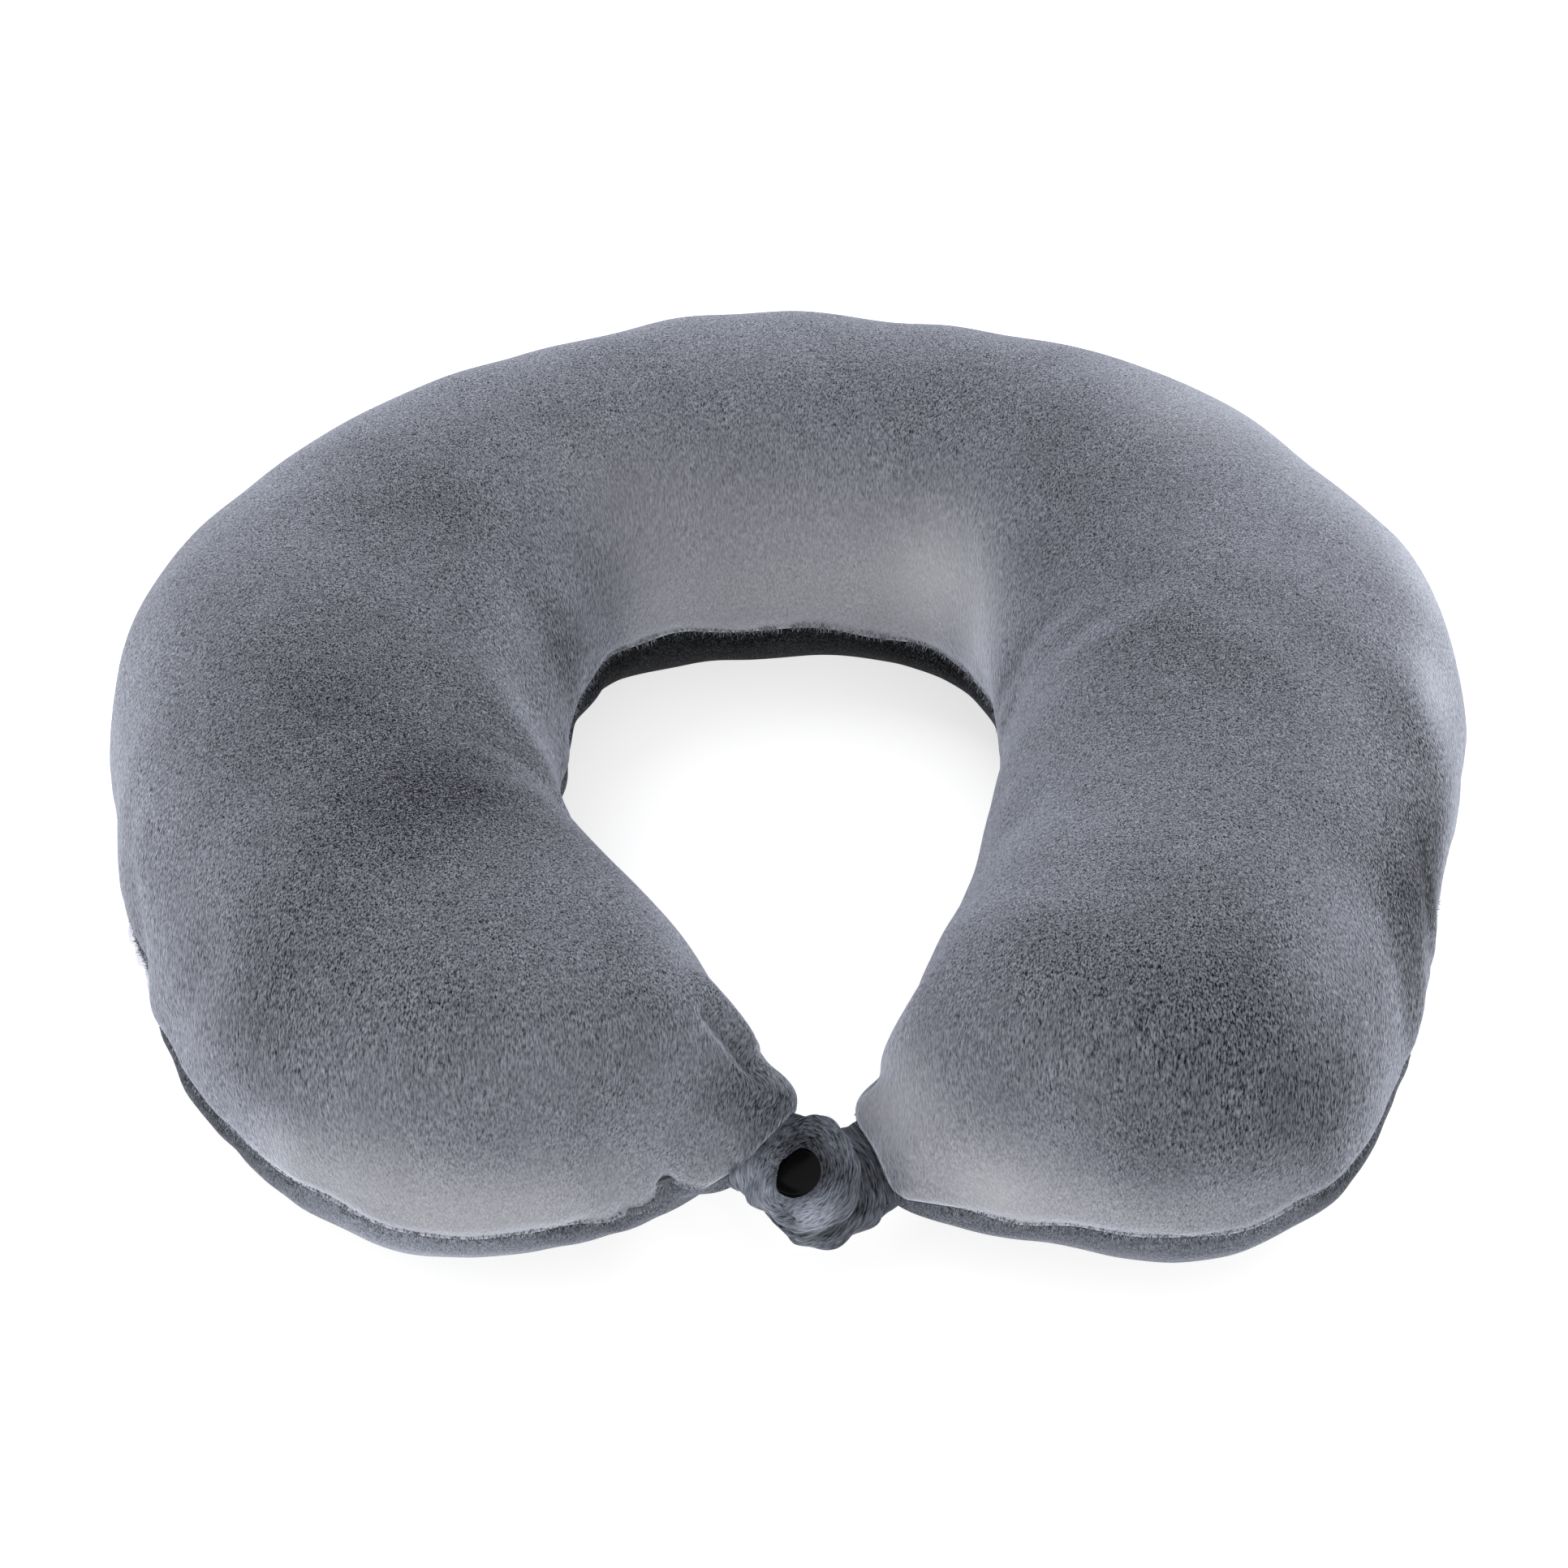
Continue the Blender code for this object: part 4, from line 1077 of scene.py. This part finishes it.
def coil(name, sign):
    """A nylon coil wound along the arc, one turn to a tooth."""
    margin = math.degrees(COIL_END_GAP / ARC_R)
    sweep = math.radians(ARC_FIRST - ARC_LAST - 2 * margin)
    turns = int(sweep * ARC_R / COIL_PITCH)
    u = np.linspace(0.0, turns, turns * COIL_TURN_STEPS + 1)
    angle = math.radians(ARC_LAST + margin) + sweep * u / turns
    spin = 2 * math.pi * u + (0.0 if sign > 0 else math.pi)
    lift = sign * (COIL_Z + COIL_HALF_HEIGHT * np.cos(spin))
    radius = ARC_R - COIL_INSET + COIL_HALF_DEPTH * np.sin(spin)
    line = np.stack([ARC_X + radius * np.cos(angle), ARC_Y + radius * np.sin(angle), SEAM_Z + lift], axis=1)
    ahead = np.gradient(line, axis=0)
    ahead /= np.linalg.norm(ahead, axis=1, keepdims=True)
    out = np.stack([np.cos(angle), np.sin(angle), 0 * angle], axis=1)
    side = np.cross(ahead, out)
    side /= np.linalg.norm(side, axis=1, keepdims=True)
    up = np.cross(side, ahead)
    around = np.linspace(0, 2 * math.pi, COIL_SIDES, endpoint=False)[None, :, None]
    rings = line[:, None] + COIL_MONOFILAMENT_R * np.cos(around) * side[:, None]
    rings = rings + COIL_MONOFILAMENT_R * np.sin(around) * up[:, None]
    faces = grid_faces(len(line), COIL_SIDES, wrap_columns=True).tolist()
    faces.append(list(range(COIL_SIDES)))
    faces.append([(len(line) - 1) * COIL_SIDES + j for j in reversed(range(COIL_SIDES))])
    made = link(name, mesh_from(name, rings, faces), NYLON)
    face_out(made)
    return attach(made, "pillow")


for side, sign in (("upper", 1), ("lower", -1)):
    wound = coil(f"zip_coil_{side}_wound", sign)
    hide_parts(f"zip_coil_{side}")


# ---------------------------------------------------------------- the care label
LABEL_STATIONS, LABEL_SHOWN = (5.88, 6.34), 2.9
LABEL_ROWS, LABEL_COLUMNS = 48, 10
LABEL_T, LABEL_OFF = 0.45, 0.35


def care_label():
    """A folded satin strip held in the left-hand seam, lying along the bottom panel, waved and blank."""
    at = np.linspace(*LABEL_STATIONS, LABEL_ROWS) / LAST * (SECTIONS - 1)
    low, part = at.astype(int), (at % 1.0)[:, None, None]
    rows = bottom_grid[low] * (1 - part) + bottom_grid[low + 1] * part
    walked = along_columns(rows)
    down = np.linspace(0.2, LABEL_SHOWN, LABEL_COLUMNS)
    face = np.array([resampled(row, far, down) for far, row in zip(walked, rows)])
    off = grid_normals(face)
    off *= np.sign((off * (face - bottom_grid.mean(axis=(0, 1)))).sum(axis=2, keepdims=True))
    wave = 0.35 + 0.20 * np.sin(np.linspace(0.0, 4.4 * math.pi, LABEL_ROWS) + 0.6)
    shown = 1.0 + 0.28 * np.sin(np.linspace(0.0, 5.2 * math.pi, LABEL_ROWS) - 0.4)
    face = face[:, :1] + (face - face[:, :1]) * shown[:, None, None]
    front = face + off * (LABEL_OFF + wave[:, None, None] * (down / LABEL_SHOWN)[None, :, None])
    mesh = mesh_from("care_label_satin", front, grid_faces(LABEL_ROWS, LABEL_COLUMNS).tolist())
    made = link("care_label_satin", mesh, SATIN)
    thick = made.modifiers.new("cloth", "SOLIDIFY")
    thick.thickness = LABEL_T * MM
    thick.offset = 0.0
    bake(made)
    face_out(made)
    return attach(made, "pillow")


label = care_label()
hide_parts("care_label")


# ---------------------------------------------------------------- CAD nodes that stay
KEPT = {
    "foam_core": FOAM,
    "seam_thread_inner": COTTON,
    "seam_thread_left": COTTON,
    "seam_thread_right": COTTON,
    "zip_tape_upper": TAPE,
    "zip_tape_lower": TAPE,
    "zip_stop_closed_end": NYLON,
    "zip_stop_open_end": NYLON,
    "zip_slider_body": METAL,
    "zip_pull_tab": METAL,
    "snap_socket": RESIN,
    "snap_stud": RESIN,
    "snap_cap_lower": RESIN,
}
for node, look in KEPT.items():
    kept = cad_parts[node]
    kept.data.materials.clear()
    kept.data.materials.append(look)


# ---------------------------------------------------------------- floor, light and camera
def floor():
    mesh = bpy.data.meshes.new("studio_floor")
    half = 4.0
    z = -0.0004
    corners = [(-half, -half, z), (half, -half, z), (half, half, z), (-half, half, z)]
    mesh.from_pydata(corners, [], [(0, 1, 2, 3)])
    made, tree, shader = fresh("pale_floor", Roughness=0.9, Specular_IOR_Level=0.1, Emission_Strength=0.66)
    shader.inputs["Emission Color"].default_value = (1.0, 1.0, 1.0, 1.0)
    place = add(tree, "ShaderNodeTexCoord").outputs["Object"]
    cloud = stretched_noise(tree, place, (0.9, 0.9, 0.9), 2.0)
    shade = sum_up(tree, [(cloud, 0.02, 0.5)])
    tree.links.new(tinted(tree, (0.58, 0.58, 0.585), shade), shader.inputs["Base Color"])
    link("studio_floor", mesh, made)


def softbox(name, place, aim, width, height, power, colour=(1.0, 1.0, 1.0)):
    """A rectangular lamp at a place, turned towards its aim."""
    lamp = bpy.data.lights.new(name, "AREA")
    lamp.shape = "RECTANGLE"
    lamp.size, lamp.size_y = width, height
    lamp.energy = power
    lamp.color = colour
    made = bpy.data.objects.new(name, lamp)
    made.location = place
    made.rotation_euler = (Vector(aim) - Vector(place)).to_track_quat("-Z", "Y").to_euler()
    bpy.context.scene.collection.objects.link(made)


def studio():
    world = bpy.data.worlds.new("studio_air")
    world.use_nodes = True
    world.node_tree.nodes["Background"].inputs["Color"].default_value = (0.97, 0.98, 1.0, 1.0)
    world.node_tree.nodes["Background"].inputs["Strength"].default_value = 0.62
    bpy.context.scene.world = world
    middle = (0.0, 0.0, 0.03)
    softbox("key_overhead", (-0.5, 0.5, 1.5), middle, 1.2, 0.9, 9.0)
    softbox("front_fill", (0.2, -1.6, 0.9), middle, 1.4, 0.8, 18.0, (1.0, 0.99, 0.965))
    softbox("left_rim", (-1.5, 0.3, 0.6), middle, 0.9, 0.9, 8.0, (0.96, 0.98, 1.0))
    softbox("right_rim", (1.0, 1.3, 0.7), middle, 0.9, 0.9, 20.0, (0.96, 0.98, 1.0))


def camera():
    lens = bpy.data.cameras.new("photo_view")
    lens.sensor_width = 36.0
    lens.lens = 101.57
    lens.clip_start = 0.01
    made = bpy.data.objects.new("photo_view", lens)
    target = Vector((-0.001, 0.002, 0.025))
    rise = math.radians(42.0)
    made.location = target + Vector((0.0, -math.cos(rise), math.sin(rise)))
    made.rotation_euler = (math.pi / 2 - rise, 0.0, 0.0)
    bpy.context.scene.collection.objects.link(made)
    bpy.context.scene.camera = made


floor()
studio()
camera()
bpy.context.scene.view_settings.view_transform = "Standard"
